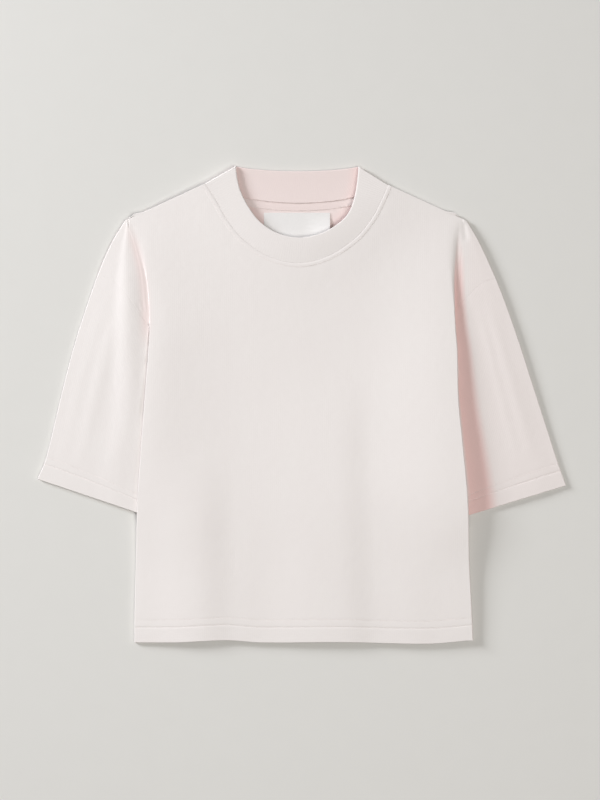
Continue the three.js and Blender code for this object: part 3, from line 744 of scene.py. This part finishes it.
def armhole_shares(side):
    """Shares along the visible armhole seam, from its outer end to the body's side."""
    _, length = armholes[side]
    outer = ROUND_INSETS / length
    turns = np.linspace(np.pi / 2, 0, ROLL_STEPS + 1)[1:]
    inner = 1 - roll_offset(turns) / length
    return np.array([*outer, *steps(outer[-1], 1 - SIDE_ROLL / length, FREE_STEPS), *inner])


front_sheet = Sheet()


def put_front(x, y, z):
    up = y - hem_edge(x)
    # The front gets painted shade in the folds beside the body
    return front_sheet.add(x, y, finished(x, y, z) - stitch_dip(up), hem_cloth(up), painted_shade=painted_fold_shade(x, y))


side_insets = [SIDE_ROLL, 9.2, 10.8, 13, *steps(13, 75, 20)]
middle = np.array(panel_columns(side_insets, front_seam(eased(80, 0.75)), 0, 0))
columns = list(put_front(middle[..., 0], middle[..., 1], body_top(middle[..., 0], middle[..., 1])))
rows = np.arange(middle.shape[1])
for side, points in SIDES.items():
    inward, fold_top = points["inward"], points["fold_top"]
    inner = middle[0 if side == "left" else -1]
    top_y = inner[-1, 1]
    rise = np.where(rows > UNDERARM_ROW, (inner[:, 1] - underarm[side]) / (top_y - underarm[side]), 0)
    rolled = []
    for turn in np.linspace(np.pi / 2, 0, ROLL_STEPS + 1)[1:]:
        y = inner[:, 1] + rise * (fold_top[1] - top_y) * (1 - roll_offset(turn) / SIDE_ROLL)
        x, z = side_roll(side, y, turn, rows > UNDERARM_ROW)
        rolled.append((put_front(x, y, z), x, y))
    edge, edge_x, edge_y = rolled[-1]
    if side == "left":
        columns = [numbers for numbers, _, _ in rolled[::-1]] + columns
    else:
        columns += [numbers for numbers, _, _ in rolled]

    low = slice(0, UNDERARM_ROW + 1)
    lip = [edge[low]]
    thickness = hem_cloth(edge_y[low] - hem_edge(edge_x[low]))
    for turn in np.linspace(0, np.pi / 2, ROLL_STEPS + 1)[1:]:
        x, z = side_roll(side, edge_y[low], -turn, np.zeros(UNDERARM_ROW + 1, bool))
        lip.append(front_sheet.add(x, edge_y[low], z, thickness))
    for inset in steps(SIDE_ROLL, SIDE_LIP, 6):
        x = along(BODY, side, edge_y[low]) + inward * inset
        lip.append(front_sheet.add(x, edge_y[low], underside(x, edge_y[low]), thickness))
    front_sheet.join(np.array(lip[::-1] if side == "left" else lip).T)

    armhole, _ = armholes[side]
    shoulder_at = patch(
        lambda t: armhole(1 - np.asarray(t, float)),
        straight(fold_top, points["corner"]),
        lambda s: body_side(side, lerp(underarm[side], fold_top[1], s)),
        lambda s: arm_edge(side, lerp(points["armhole"][0][1], points["corner"][1], s)),
    )
    shoulder = []
    for j in range(UNDERARM_ROW, len(rows)):
        s = (edge_y[j] - underarm[side]) / (fold_top[1] - underarm[side])
        width = np.linalg.norm(shoulder_at(s, 1.0) - shoulder_at(s, 0.0))
        squeeze = min(1, width / 16) / width
        turns = np.linspace(0, np.pi / 2, ROLL_STEPS + 1)[1:]
        x, z = side_roll(side, edge_y[j], -turns, np.ones(ROLL_STEPS, bool))
        roll_shares = np.abs(x - edge_x[j]) * squeeze
        outer = 1 - ROUND_INSETS[::-1] * squeeze
        shares = np.array([*roll_shares, *steps(roll_shares[-1], outer[0], FREE_STEPS), *outer[1:]])
        if j == UNDERARM_ROW:
            shares = (1 - armhole_shares(side))[::-1][1:]
        at = shoulder_at(s, shares)
        height = arm_top(side, at[:, 0], at[:, 1])
        height[:ROLL_STEPS] = z
        shoulder.append(np.array([edge[j], *put_front(at[:, 0], at[:, 1], height)]))
    shoulder = np.array(shoulder)
    front_sheet.join(shoulder[:, ::-1] if side == "left" else shoulder)
front_sheet.join(np.array(columns).T)

PINK = (0.8, 0.76, 0.74, 1)
PINK_DEEP = (0.785, 0.73, 0.715, 1)
# A deep pink painted on where the cloth lies in shade, for the shadow and the pink light bounced in folds
PAINTED_SHADE_PINK = (0.8, 0.57, 0.545, 1)
# Pitch of the knit's columns and rows, a little coarse so that they show
WALE = 2.3
COURSE = 1.7


def pink_knit(nodes, shader, weave, cloud_scale):
    """Links a knit's colour, cloudy, with deep pink painted shade mixed in, and gives the grain of its yarn.
    """
    yarn, cloud = noise(nodes, weave, 420, 3), noise(nodes, weave, cloud_scale, 3)
    cloth_pink = mixed(nodes, 0.45 * yarn + 0.55 * cloud, PINK, PINK_DEEP)
    # Painted shade: where the points carry it, the pink deepens
    painted_shade = nodes.node("ShaderNodeAttribute", {"attribute_name": "painted_shade"}, output="Fac")
    link(nodes, shader, "Base Color", mixed(nodes, painted_shade, cloth_pink, PAINTED_SHADE_PINK))
    return yarn


def bands(nodes, weave, direction, pitch, distortion):
    """Bands across the cloth, with their pitch in millimetres. The node's own pitch is pi / 10 metres."""
    return nodes.node(
        "ShaderNodeTexWave",
        {"wave_type": "BANDS", "bands_direction": direction},
        {"Vector": weave, "Scale": 1000 / (pitch * 10) * math.pi, "Distortion": distortion, "Detail": 1},
    )


jersey, nodes, shader = new_material("pink_jersey", 0.92, sheen=0.12)
weave = nodes.node("ShaderNodeUVMap", {"uv_map": "cloth"})
yarn = pink_knit(nodes, shader, weave, 22)
wales, courses = bands(nodes, weave, "X", WALE, 0.4), bands(nodes, weave, "Y", COURSE, 0.6)
knit = 0.6 * wales + 0.3 * courses + 0.35 * yarn
knit_bump = nodes.node("ShaderNodeBump", None, {"Strength": 0.1, "Distance": 0.0004, "Height": knit})
soft = noise(nodes, weave, 90, 2)
soft_bump = nodes.node(
    "ShaderNodeBump", None, {"Strength": 0.25, "Distance": 0.0008, "Height": soft, "Normal": knit_bump}
)
link(nodes, shader, "Normal", soft_bump)

front = front_sheet.wall("front_panel", jersey)
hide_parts("front")
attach(front, "root")


# Stitches are polyester sewing thread in the cloth's own colour: two rows along the front's hem, and one
# just outside its neck seam. A row is a line along the cloth, and Geometry Nodes set a short bead of
# thread along it at every stitch, half sunk into the cloth.

THREAD_PINK = (0.82, 0.75, 0.73, 1)
THREAD_DARK = (0.76, 0.67, 0.65, 1)
STITCH_PITCH = 2.9
STITCH_LENGTH = 2.3
STITCH_THICKNESS = 0.5
TOPSTITCH_OUT = 4.3

thread, nodes, shader = new_material("pink_thread", 0.6, sheen=0.2)
where = nodes.node("ShaderNodeTexCoord", output="Object")
link(nodes, shader, "Base Color", mixed(nodes, noise(nodes, where, 1500, 1), THREAD_PINK, THREAD_DARK))


def new_stitching():
    tree = bpy.data.node_groups.new("stitching", "GeometryNodeTree")
    interface = tree.interface
    interface.new_socket("Rows", in_out="INPUT", socket_type="NodeSocketGeometry")
    for name in ("Pitch", "Length", "Thickness"):
        interface.new_socket(name, in_out="INPUT", socket_type="NodeSocketFloat")
    interface.new_socket("Thread", in_out="INPUT", socket_type="NodeSocketMaterial")
    interface.new_socket("Stitches", in_out="OUTPUT", socket_type="NodeSocketGeometry")
    given, result = tree.nodes.new("NodeGroupInput"), tree.nodes.new("NodeGroupOutput")
    kinds = ("MeshToCurve", "ResampleCurve", "InputTangent", "MeshUVSphere", "InstanceOnPoints")
    curve, spaced, tangent, bead, beads = (tree.nodes.new("GeometryNode" + kind) for kind in kinds)
    spaced.mode = "LENGTH"
    bead.inputs["Segments"].default_value = 6
    bead.inputs["Rings"].default_value = 5
    bead.inputs["Radius"].default_value = 0.5
    turn = tree.nodes.new("FunctionNodeAlignRotationToVector")
    turn.axis = "X"
    size = tree.nodes.new("ShaderNodeCombineXYZ")
    real, painted = tree.nodes.new("GeometryNodeRealizeInstances"), tree.nodes.new("GeometryNodeSetMaterial")
    for start, end in (
        (given.outputs["Rows"], curve.inputs["Mesh"]),
        (curve.outputs["Curve"], spaced.inputs["Curve"]),
        (given.outputs["Pitch"], spaced.inputs["Length"]),
        (spaced.outputs["Curve"], beads.inputs["Points"]),
        (bead.outputs["Mesh"], beads.inputs["Instance"]),
        (tangent.outputs["Tangent"], turn.inputs["Vector"]),
        (turn.outputs["Rotation"], beads.inputs["Rotation"]),
        (given.outputs["Length"], size.inputs["X"]),
        (given.outputs["Thickness"], size.inputs["Y"]),
        (given.outputs["Thickness"], size.inputs["Z"]),
        (size.outputs["Vector"], beads.inputs["Scale"]),
        (beads.outputs["Instances"], real.inputs["Geometry"]),
        (real.outputs["Geometry"], painted.inputs["Geometry"]),
        (given.outputs["Thread"], painted.inputs["Material"]),
        (painted.outputs["Geometry"], result.inputs["Stitches"]),
    ):
        tree.links.new(start, end)
    return tree


stitching = new_stitching()


def stitched(name, rows):
    """Stitches along rows of points, as one piece."""
    mesh = bpy.data.meshes.new(name + "_rows")
    sizes = [len(row) for row in rows]
    starts = np.cumsum([0, *sizes[:-1]])
    edges = [(a + i, a + i + 1) for a, size in zip(starts, sizes) for i in range(size - 1)]
    mesh.from_pydata((np.concatenate(rows) / 1000).tolist(), edges, [])
    line = bpy.data.objects.new(name + "_rows", mesh)
    bpy.context.collection.objects.link(line)
    modifier = line.modifiers.new("stitching", "NODES")
    modifier.node_group = stitching
    values = {
        "Pitch": STITCH_PITCH / 1000,
        "Length": STITCH_LENGTH / 1000,
        "Thickness": STITCH_THICKNESS / 1000,
        "Thread": thread,
    }
    for socket in stitching.interface.items_tree:
        if socket.in_out == "INPUT" and socket.name in values:
            modifier[socket.identifier] = values[socket.name]
    evaluated = line.evaluated_get(bpy.context.evaluated_depsgraph_get())
    made = bpy.data.meshes.new_from_object(evaluated)
    made.name = name
    made.shade_smooth()
    piece = bpy.data.objects.new(name, made)
    bpy.context.collection.objects.link(piece)
    bpy.data.objects.remove(line)
    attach(piece, "root")
    return piece


def points_of(sheet, numbers, lift=0.0):
    points = np.concatenate(sheet.points)[np.asarray(numbers)]
    return points + [0, 0, lift]


def to_the_right(curve, t):
    """The direction to the right of a plan curve, seen along its run."""
    t = np.asarray(t, float)
    step = curve(np.minimum(t + 1e-3, 1)) - curve(np.maximum(t - 1e-3, 0))
    step = step / np.linalg.norm(step, axis=-1, keepdims=True)
    return np.stack([step[..., 1], -step[..., 0]], axis=-1)


hem_rows = [points_of(front_sheet, [column[HEM_ROWS.index(up)] for column in columns]) for up in HEM_STITCHES]
stitched("hem_stitches", hem_rows)

shares = np.linspace(0.02, 0.98, 200)
at = front_seam(shares) + TOPSTITCH_OUT * to_the_right(front_seam, shares)
topstitch = np.column_stack([at, finished(at[:, 0], at[:, 1], body_top(at[:, 0], at[:, 1]))])
neck_stitches = stitched("neck_stitches", [topstitch])


# The back panel is cut from the same jersey. It lies flat on the table, except over the two sleeves that
# are tucked under it, and its inner face shows inside the neck.

# How far the back's hem lies above the front's, and how far in from the side its first columns are
BACK_HEM = 2.5
BACK_INSETS = [SIDE_LIP + SEAM_GAP, 31, 37, TUCK, 50, TUCK + TUCK_RAMP]
# How much of the lower edge of its shoulder runs from the side seam to the fold
TO_FOLD = 0.25
# Painted shade inside the neck: how much deeper pink overall, how much more near the front's free edge, and
# how far that reaches
NECK_PAINTED_SHADE = 0.36
EDGE_PAINTED_SHADE = 0.3
EDGE_PAINTED_SHADE_REACH = 9

front_free_chain = front_free(np.linspace(0, 1, 90))

back_sheet = Sheet()


def painted_neck_shade(x, y):
    """Painted shade inside the neck: pinker all over, and most of all close to the front's edge, which shades
    it.
    """
    near = np.exp(-((distance_to(front_free_chain, x, y) / EDGE_PAINTED_SHADE_REACH) ** 2))
    return NECK_PAINTED_SHADE + EDGE_PAINTED_SHADE * near


def put_back(x, y):
    # The back gets painted shade only up inside the neck
    painted_shade = painted_neck_shade(x, y) * smoothstep(y, 120, 170)
    return back_sheet.add(x, y, underside(x, y), hem_cloth(y - hem_edge(x) - BACK_HEM), painted_shade=painted_shade)


back_neck = back_seam(eased(60, 0.75)) - plan(0, SEAM_GAP)
middle = np.array(panel_columns(BACK_INSETS, back_neck, BACK_HEM, UNDERARM_GAP))
columns = put_back(middle[..., 0], middle[..., 1])
back_sheet.join(columns.T)
for side, points in SIDES.items():
    end = 0 if side == "left" else -1
    inner = middle[end, UNDERARM_ROW:]
    start, top = inner[0], inner[-1]
    fold = body_side(side, start[1])
    armhole, _ = armholes[side]

    def bottom_edge(t):
        t = np.asarray(t, float)[..., None]
        near = lerp(start, fold, t / TO_FOLD)
        return np.where(t < TO_FOLD, near, armhole(np.clip((1 - t[..., 0]) / (1 - TO_FOLD), 0, 1)))

    def column_up(s):
        y = lerp(start[1], top[1], np.asarray(s, float))
        return plan(np.interp(y, inner[:, 1], inner[:, 0]), y)

    shoulder_at = patch(
        bottom_edge,
        straight(top, points["corner"]),
        column_up,
        lambda s: arm_edge(side, lerp(points["armhole"][0][1], points["corner"][1], s)),
    )
    shares = np.array([*steps(0, TO_FOLD, 5)[:-1], *(1 - (1 - TO_FOLD) * armhole_shares(side))[::-1]])
    share_up = (inner[:, 1] - start[1]) / (top[1] - start[1])
    at = shoulder_at(share_up[:, None], shares[None, :])
    rows = np.concatenate([columns[end, UNDERARM_ROW:, None], put_back(at[..., 0], at[..., 1])], axis=1)
    back_sheet.join(rows[:, ::-1] if side == "left" else rows)

back = back_sheet.wall("back_panel", jersey, is_underside=True)
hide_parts("back")
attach(back, "root")


# The sleeves are short and wide, each one piece of jersey sewn into a tube and pressed flat. The inner
# part of each lies under the body. The cuff is hemmed like the body, with two rows of stitches all round.

# How much of a sleeve's width shows beside the body
TO_BODY = 0.62
SLEEVE_EDGE = 1.5
UNDER_ROLL = 1.6
CUFF_ROWS = [0, 0.4, 1.2, 2.6, 5, 8, 11, 14, 16.4, 17.4, 17.9, 18.4, 18.9, 19.4, 20.4, 22, 24, 25.6]
CUFF_ROWS += [26.3, 26.8, 27.3, 28, 29.4, 31.4]
CUFF_STITCHES = (18.4, 26.8)
SEAM_ROWS = [0, 0.4, 1.2, 2.5]
HIDDEN_INSETS = [3, 1.8, 0.9, 0.4, 0.12, 0]
SEAM_DIP = 0.12
SEAM_DIP_REACH = 1.4
# Soft ridges that run down a sleeve: where across it, how wide, and how high
SLEEVE_RIDGES = {
    "left": [(0.42, 0.1, 0.5), (0.2, 0.07, 0.25)],
    "right": [(0.3, 0.09, 0.35), (0.5, 0.06, 0.25)],
}


def make_sleeve(side):
    points = SIDES[side]
    outer_cuff, _, hidden_cuff = np.array(points["cuff"], float)
    shown_curve, hidden_curve = armholes[side][0], tucked_armholes[side][0]

    def seam(t):
        t = np.asarray(t, float)
        found = []
        for curve, share in (shown_curve, t / TO_BODY), (hidden_curve, (t - TO_BODY) / (1 - TO_BODY)):
            share = np.clip(share, 0, 1)
            found.append(curve(share) + SLEEVE_GAP * points["inward"] * to_the_right(curve, share))
        return np.where(t[..., None] < TO_BODY, *found)

    def outer_edge(s):
        return arm_edge(side, lerp(seam(0.0)[1], outer_cuff[1], np.asarray(s, float)))

    plan_at = patch(seam, straight(outer_cuff, hidden_cuff), outer_edge, straight(seam(1.0), hidden_cuff))
    length = np.linalg.norm(outer_edge(0.0) - outer_edge(1.0))
    hidden_length = tucked_armholes[side][1]
    hidden = [1 - (1 - TO_BODY) * inset / hidden_length for inset in HIDDEN_INSETS]
    across = np.array([*armhole_shares(side) * TO_BODY, *steps(TO_BODY, hidden[0], 12), *hidden[1:]])
    cuff_shares = 1 - np.array(CUFF_ROWS[::-1]) / length
    seam_shares = np.array(SEAM_ROWS) / length
    down = np.array([*seam_shares, *steps(seam_shares[-1], cuff_shares[0], 46), *cuff_shares[1:]])
    s, t = down[:, None], across[None, :]
    at = plan_at(s, t)
    width = np.linalg.norm(plan_at(down, np.zeros(len(down))) - plan_at(down, np.ones(len(down))), axis=1)
    x, y = at[..., 0], at[..., 1]
    from_cuff = (1 - s) * length + 0 * t
    crest = arm_top(side, x, y)
    for place, spread, height in SLEEVE_RIDGES[side]:
        fade = smoothstep(s, 0.05, 0.3) * (1 - smoothstep(s, 0.6, 0.95))
        crest = crest + height * fade * np.exp(-(((t / TO_BODY - place) / spread) ** 2))
    top = np.where(inside(side, x, y) > 0, TUCKED, crest)
    tucked = round_over((1 - t) * width[:, None] / (TUCKED / 2))
    edge = np.where(t < 0.5, SLEEVE_EDGE, TUCKED / 2)
    seam_dip = SEAM_DIP * np.exp(-((s * length / SEAM_DIP_REACH) ** 2))
    upper_z = lerp(edge, top, np.minimum(round_over(t * width[:, None] / SHOULDER_ROLL), tucked))
    upper_z = upper_z - (stitch_dip(from_cuff + HEM_STITCHES[0] - CUFF_STITCHES[0]) + seam_dip) * (t > 0)
    lower_z = lerp(edge, 0, np.minimum(round_over(t * width[:, None] / UNDER_ROLL), tucked))
    cloth = hem_cloth(from_cuff)
    weave = np.stack([t * width[:, None], from_cuff], axis=-1)
    sheet = Sheet()
    # The sleeve's upper face gets painted shade in the folds beside the body
    upper = sheet.add(x, y, upper_z, cloth, weave=weave, painted_shade=painted_fold_shade(x, y))
    inner = np.s_[:, -2:0:-1]
    lower = sheet.add(x[inner], y[inner], lower_z[inner], cloth[inner], weave=weave[inner])
    rings = np.concatenate([upper, lower, upper[:, :1]], axis=1)
    sheet.join(rings[::-1] if side == "left" else rings)
    piece = sheet.wall("sleeve_" + side + "_tube", jersey)
    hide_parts("sleeve_" + side)
    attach(piece, "root")
    last = len(down) - 1
    rows = [points_of(sheet, rings[last - CUFF_ROWS.index(up)]) for up in CUFF_STITCHES]
    stitches = stitched("cuff_" + side + "_stitches", rows)


make_sleeve("left")
make_sleeve("right")


# The collar is a band of fine 1x1 rib, folded double and sewn to the neck. It is a closed ring that lies
# folded flat at the shoulders, with its free edge standing a little off the back.

RIB = 2.2
COLLAR_FREE_LIFT = 1.2
COLLAR_ROLL = 1.4
COLLAR_WIDTH = 36
BACK_RUN = 400
RIM_FROM = 0.993
RIM_ROUND = 0.82
COLLAR_UP = [0, 0.02, 0.06, 0.12, *np.linspace(0.18, 0.9, 16), 0.95, RIM_FROM, 0.9965, 0.999, 1]
RIB_LINES = 2.6

rib, nodes, shader = new_material("pink_rib", 0.94, sheen=0.12)
weave = nodes.node("ShaderNodeUVMap", {"uv_map": "cloth"})
yarn = pink_knit(nodes, shader, weave, 30)
lines = bands(nodes, weave, "X", RIB_LINES, 0.3)
rib_bump = nodes.node(
    "ShaderNodeBump", None, {"Strength": 0.14, "Distance": 0.0005, "Height": lines + 0.6 * yarn}
)
link(nodes, shader, "Normal", rib_bump)


def beside_seam(seam, t):
    """A point of a seam, moved off it by the gap towards the collar."""
    return seam(t) - SEAM_GAP * to_the_right(seam, t)


collar_sheet = Sheet()
up = np.array(COLLAR_UP)[:, None]
front_shares, back_shares = eased(150, 0.8), eased(90, 0.8)[-2:0:-1]
corner_seams = beside_seam(front_seam, np.array([0.0, 1.0]))
corners = lerp(corner_seams[None], front_free(np.array([0.0, 1.0]))[None], up[..., None])
inset = RIM_ROUND * RIB / 2 * (1 - round_over((1 - up) / (1 - RIM_FROM)))
free_top = lerp(COLLAR_SIDE_TOP, COLLAR_FREE_TOP, np.sin(front_shares * np.pi))
rows = []
for seam, free, shares, level in (
    (front_seam, front_free, front_shares, lerp(COLLAR_SEAM_TOP, free_top[None], np.sin(up * np.pi / 2))),
    (back_seam, back_free, back_shares, COLLAR_FREE_LIFT * up**2),
):
    foot, rim = beside_seam(seam, shares), free(shares)
    at = lerp(foot[None], rim[None], up[..., None])
    away = np.min([np.linalg.norm(at - corners[:, [k]], axis=-1) for k in (0, 1)], axis=0)
    fold = lerp(COLLAR_SEAM_TOP, COLLAR_FREE_TOP, up) / 2
    z = lerp(fold, level + 0 * away, round_over(away / COLLAR_ROLL))
    run = run_along((foot + rim) / 2) + (0 if seam is front_seam else BACK_RUN)
    weave = plan(run[None, :], up * COLLAR_WIDTH)
    # The back half of the collar gets the painted shade of the neck's inside
    painted_shade = 0 if seam is front_seam else painted_neck_shade(at[..., 0], at[..., 1])
    rows.append(collar_sheet.add(at[..., 0], at[..., 1], z, RIB - 2 * inset, inset, weave, painted_shade))
rings = np.concatenate([*rows, rows[0][:, :1]], axis=1)
collar_sheet.join(rings)
collar = collar_sheet.wall("collar_band", rib)
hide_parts("collar")
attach(collar, "root")


# The neck tape is a narrow strip of the same jersey sewn over the back neck seam, with a row of stitches
# along each edge.

ON_BACK = CLOTH + 0.05
TAPE_CLOTH = 0.3
TAPE_WIDTH = 9
TAPE_BELOW = 0.3
TAPE_ENDS = (0.13, 0.87)
TAPE_ROWS = 12
TAPE_CROWN = 0.15
# Painted shade on the tape, which lies inside the neck
TAPE_PAINTED_SHADE = 0.4

tape_sheet = Sheet()
shares = np.linspace(*TAPE_ENDS, 120)
rise = np.linspace(0, 1, TAPE_ROWS)[:, None]
below = TAPE_BELOW + TAPE_WIDTH * (1 - rise)
at = back_seam(shares)[None] - np.stack([0 * below, below], axis=-1)
z = ON_BACK + TAPE_CROWN * np.sin(rise * np.pi)
numbers = tape_sheet.add(at[..., 0], at[..., 1], z, TAPE_CLOTH, painted_shade=TAPE_PAINTED_SHADE)
tape_sheet.join(numbers)
tape = tape_sheet.wall("back_neck_tape", jersey, is_underside=True)
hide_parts("neck_tape")
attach(tape, "root")
tape_rows = [points_of(tape_sheet, numbers[row, 2:-2], TAPE_CLOTH) for row in (1, TAPE_ROWS - 2)]
tape_stitches = stitched("tape_stitches", tape_rows)


# The label is a plain white woven satin tab, blank, sewn in under the tape at its top edge. Its free
# right side lifts a little off the back.

LABEL_CLOTH = 0.6
LABEL_WIDTH = 79
LABEL_HEIGHT = 46
LABEL_X = -6
LABEL_TOP = 230.5
LABEL_LIFT = 2.4
LABEL_WAVE = 0.25
SATIN = (0.8, 0.775, 0.765, 1)
SATIN_SHADE = (0.77, 0.75, 0.74, 1)
SATIN_THREADS = 1

satin, nodes, shader = new_material("white_satin", 0.5, sheen=0.1)
weave = nodes.node("ShaderNodeUVMap", {"uv_map": "cloth"})
threads, slub = bands(nodes, weave, "Y", SATIN_THREADS, 0.5), noise(nodes, weave, 300, 2)
link(nodes, shader, "Base Color", mixed(nodes, slub, SATIN, SATIN_SHADE))
satin_bump = nodes.node(
    "ShaderNodeBump", None, {"Strength": 0.3, "Distance": 0.0002, "Height": threads + 0.3 * slub}
)
link(nodes, shader, "Normal", satin_bump)

label_sheet = Sheet()
across = np.concatenate([[-0.5, -0.497], np.linspace(-0.49, 0.49, 40), [0.497, 0.5]])[None, :]
down = np.concatenate([[1, 0.995], np.linspace(0.98, 0.02, 24), [0.005, 0]])[:, None]
lift = LABEL_LIFT * smoothstep(across, 0.1, 0.5) * smoothstep(down, 0, 0.5)
lift = lift + LABEL_WAVE * np.cos(across * 7) ** 2 * down
numbers = label_sheet.add(
    LABEL_X + across * LABEL_WIDTH, LABEL_TOP - down * LABEL_HEIGHT, ON_BACK + lift, LABEL_CLOTH
)
label_sheet.join(numbers)
label = label_sheet.wall("blank_label", satin, is_underside=True)
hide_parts("label")
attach(label, "root")
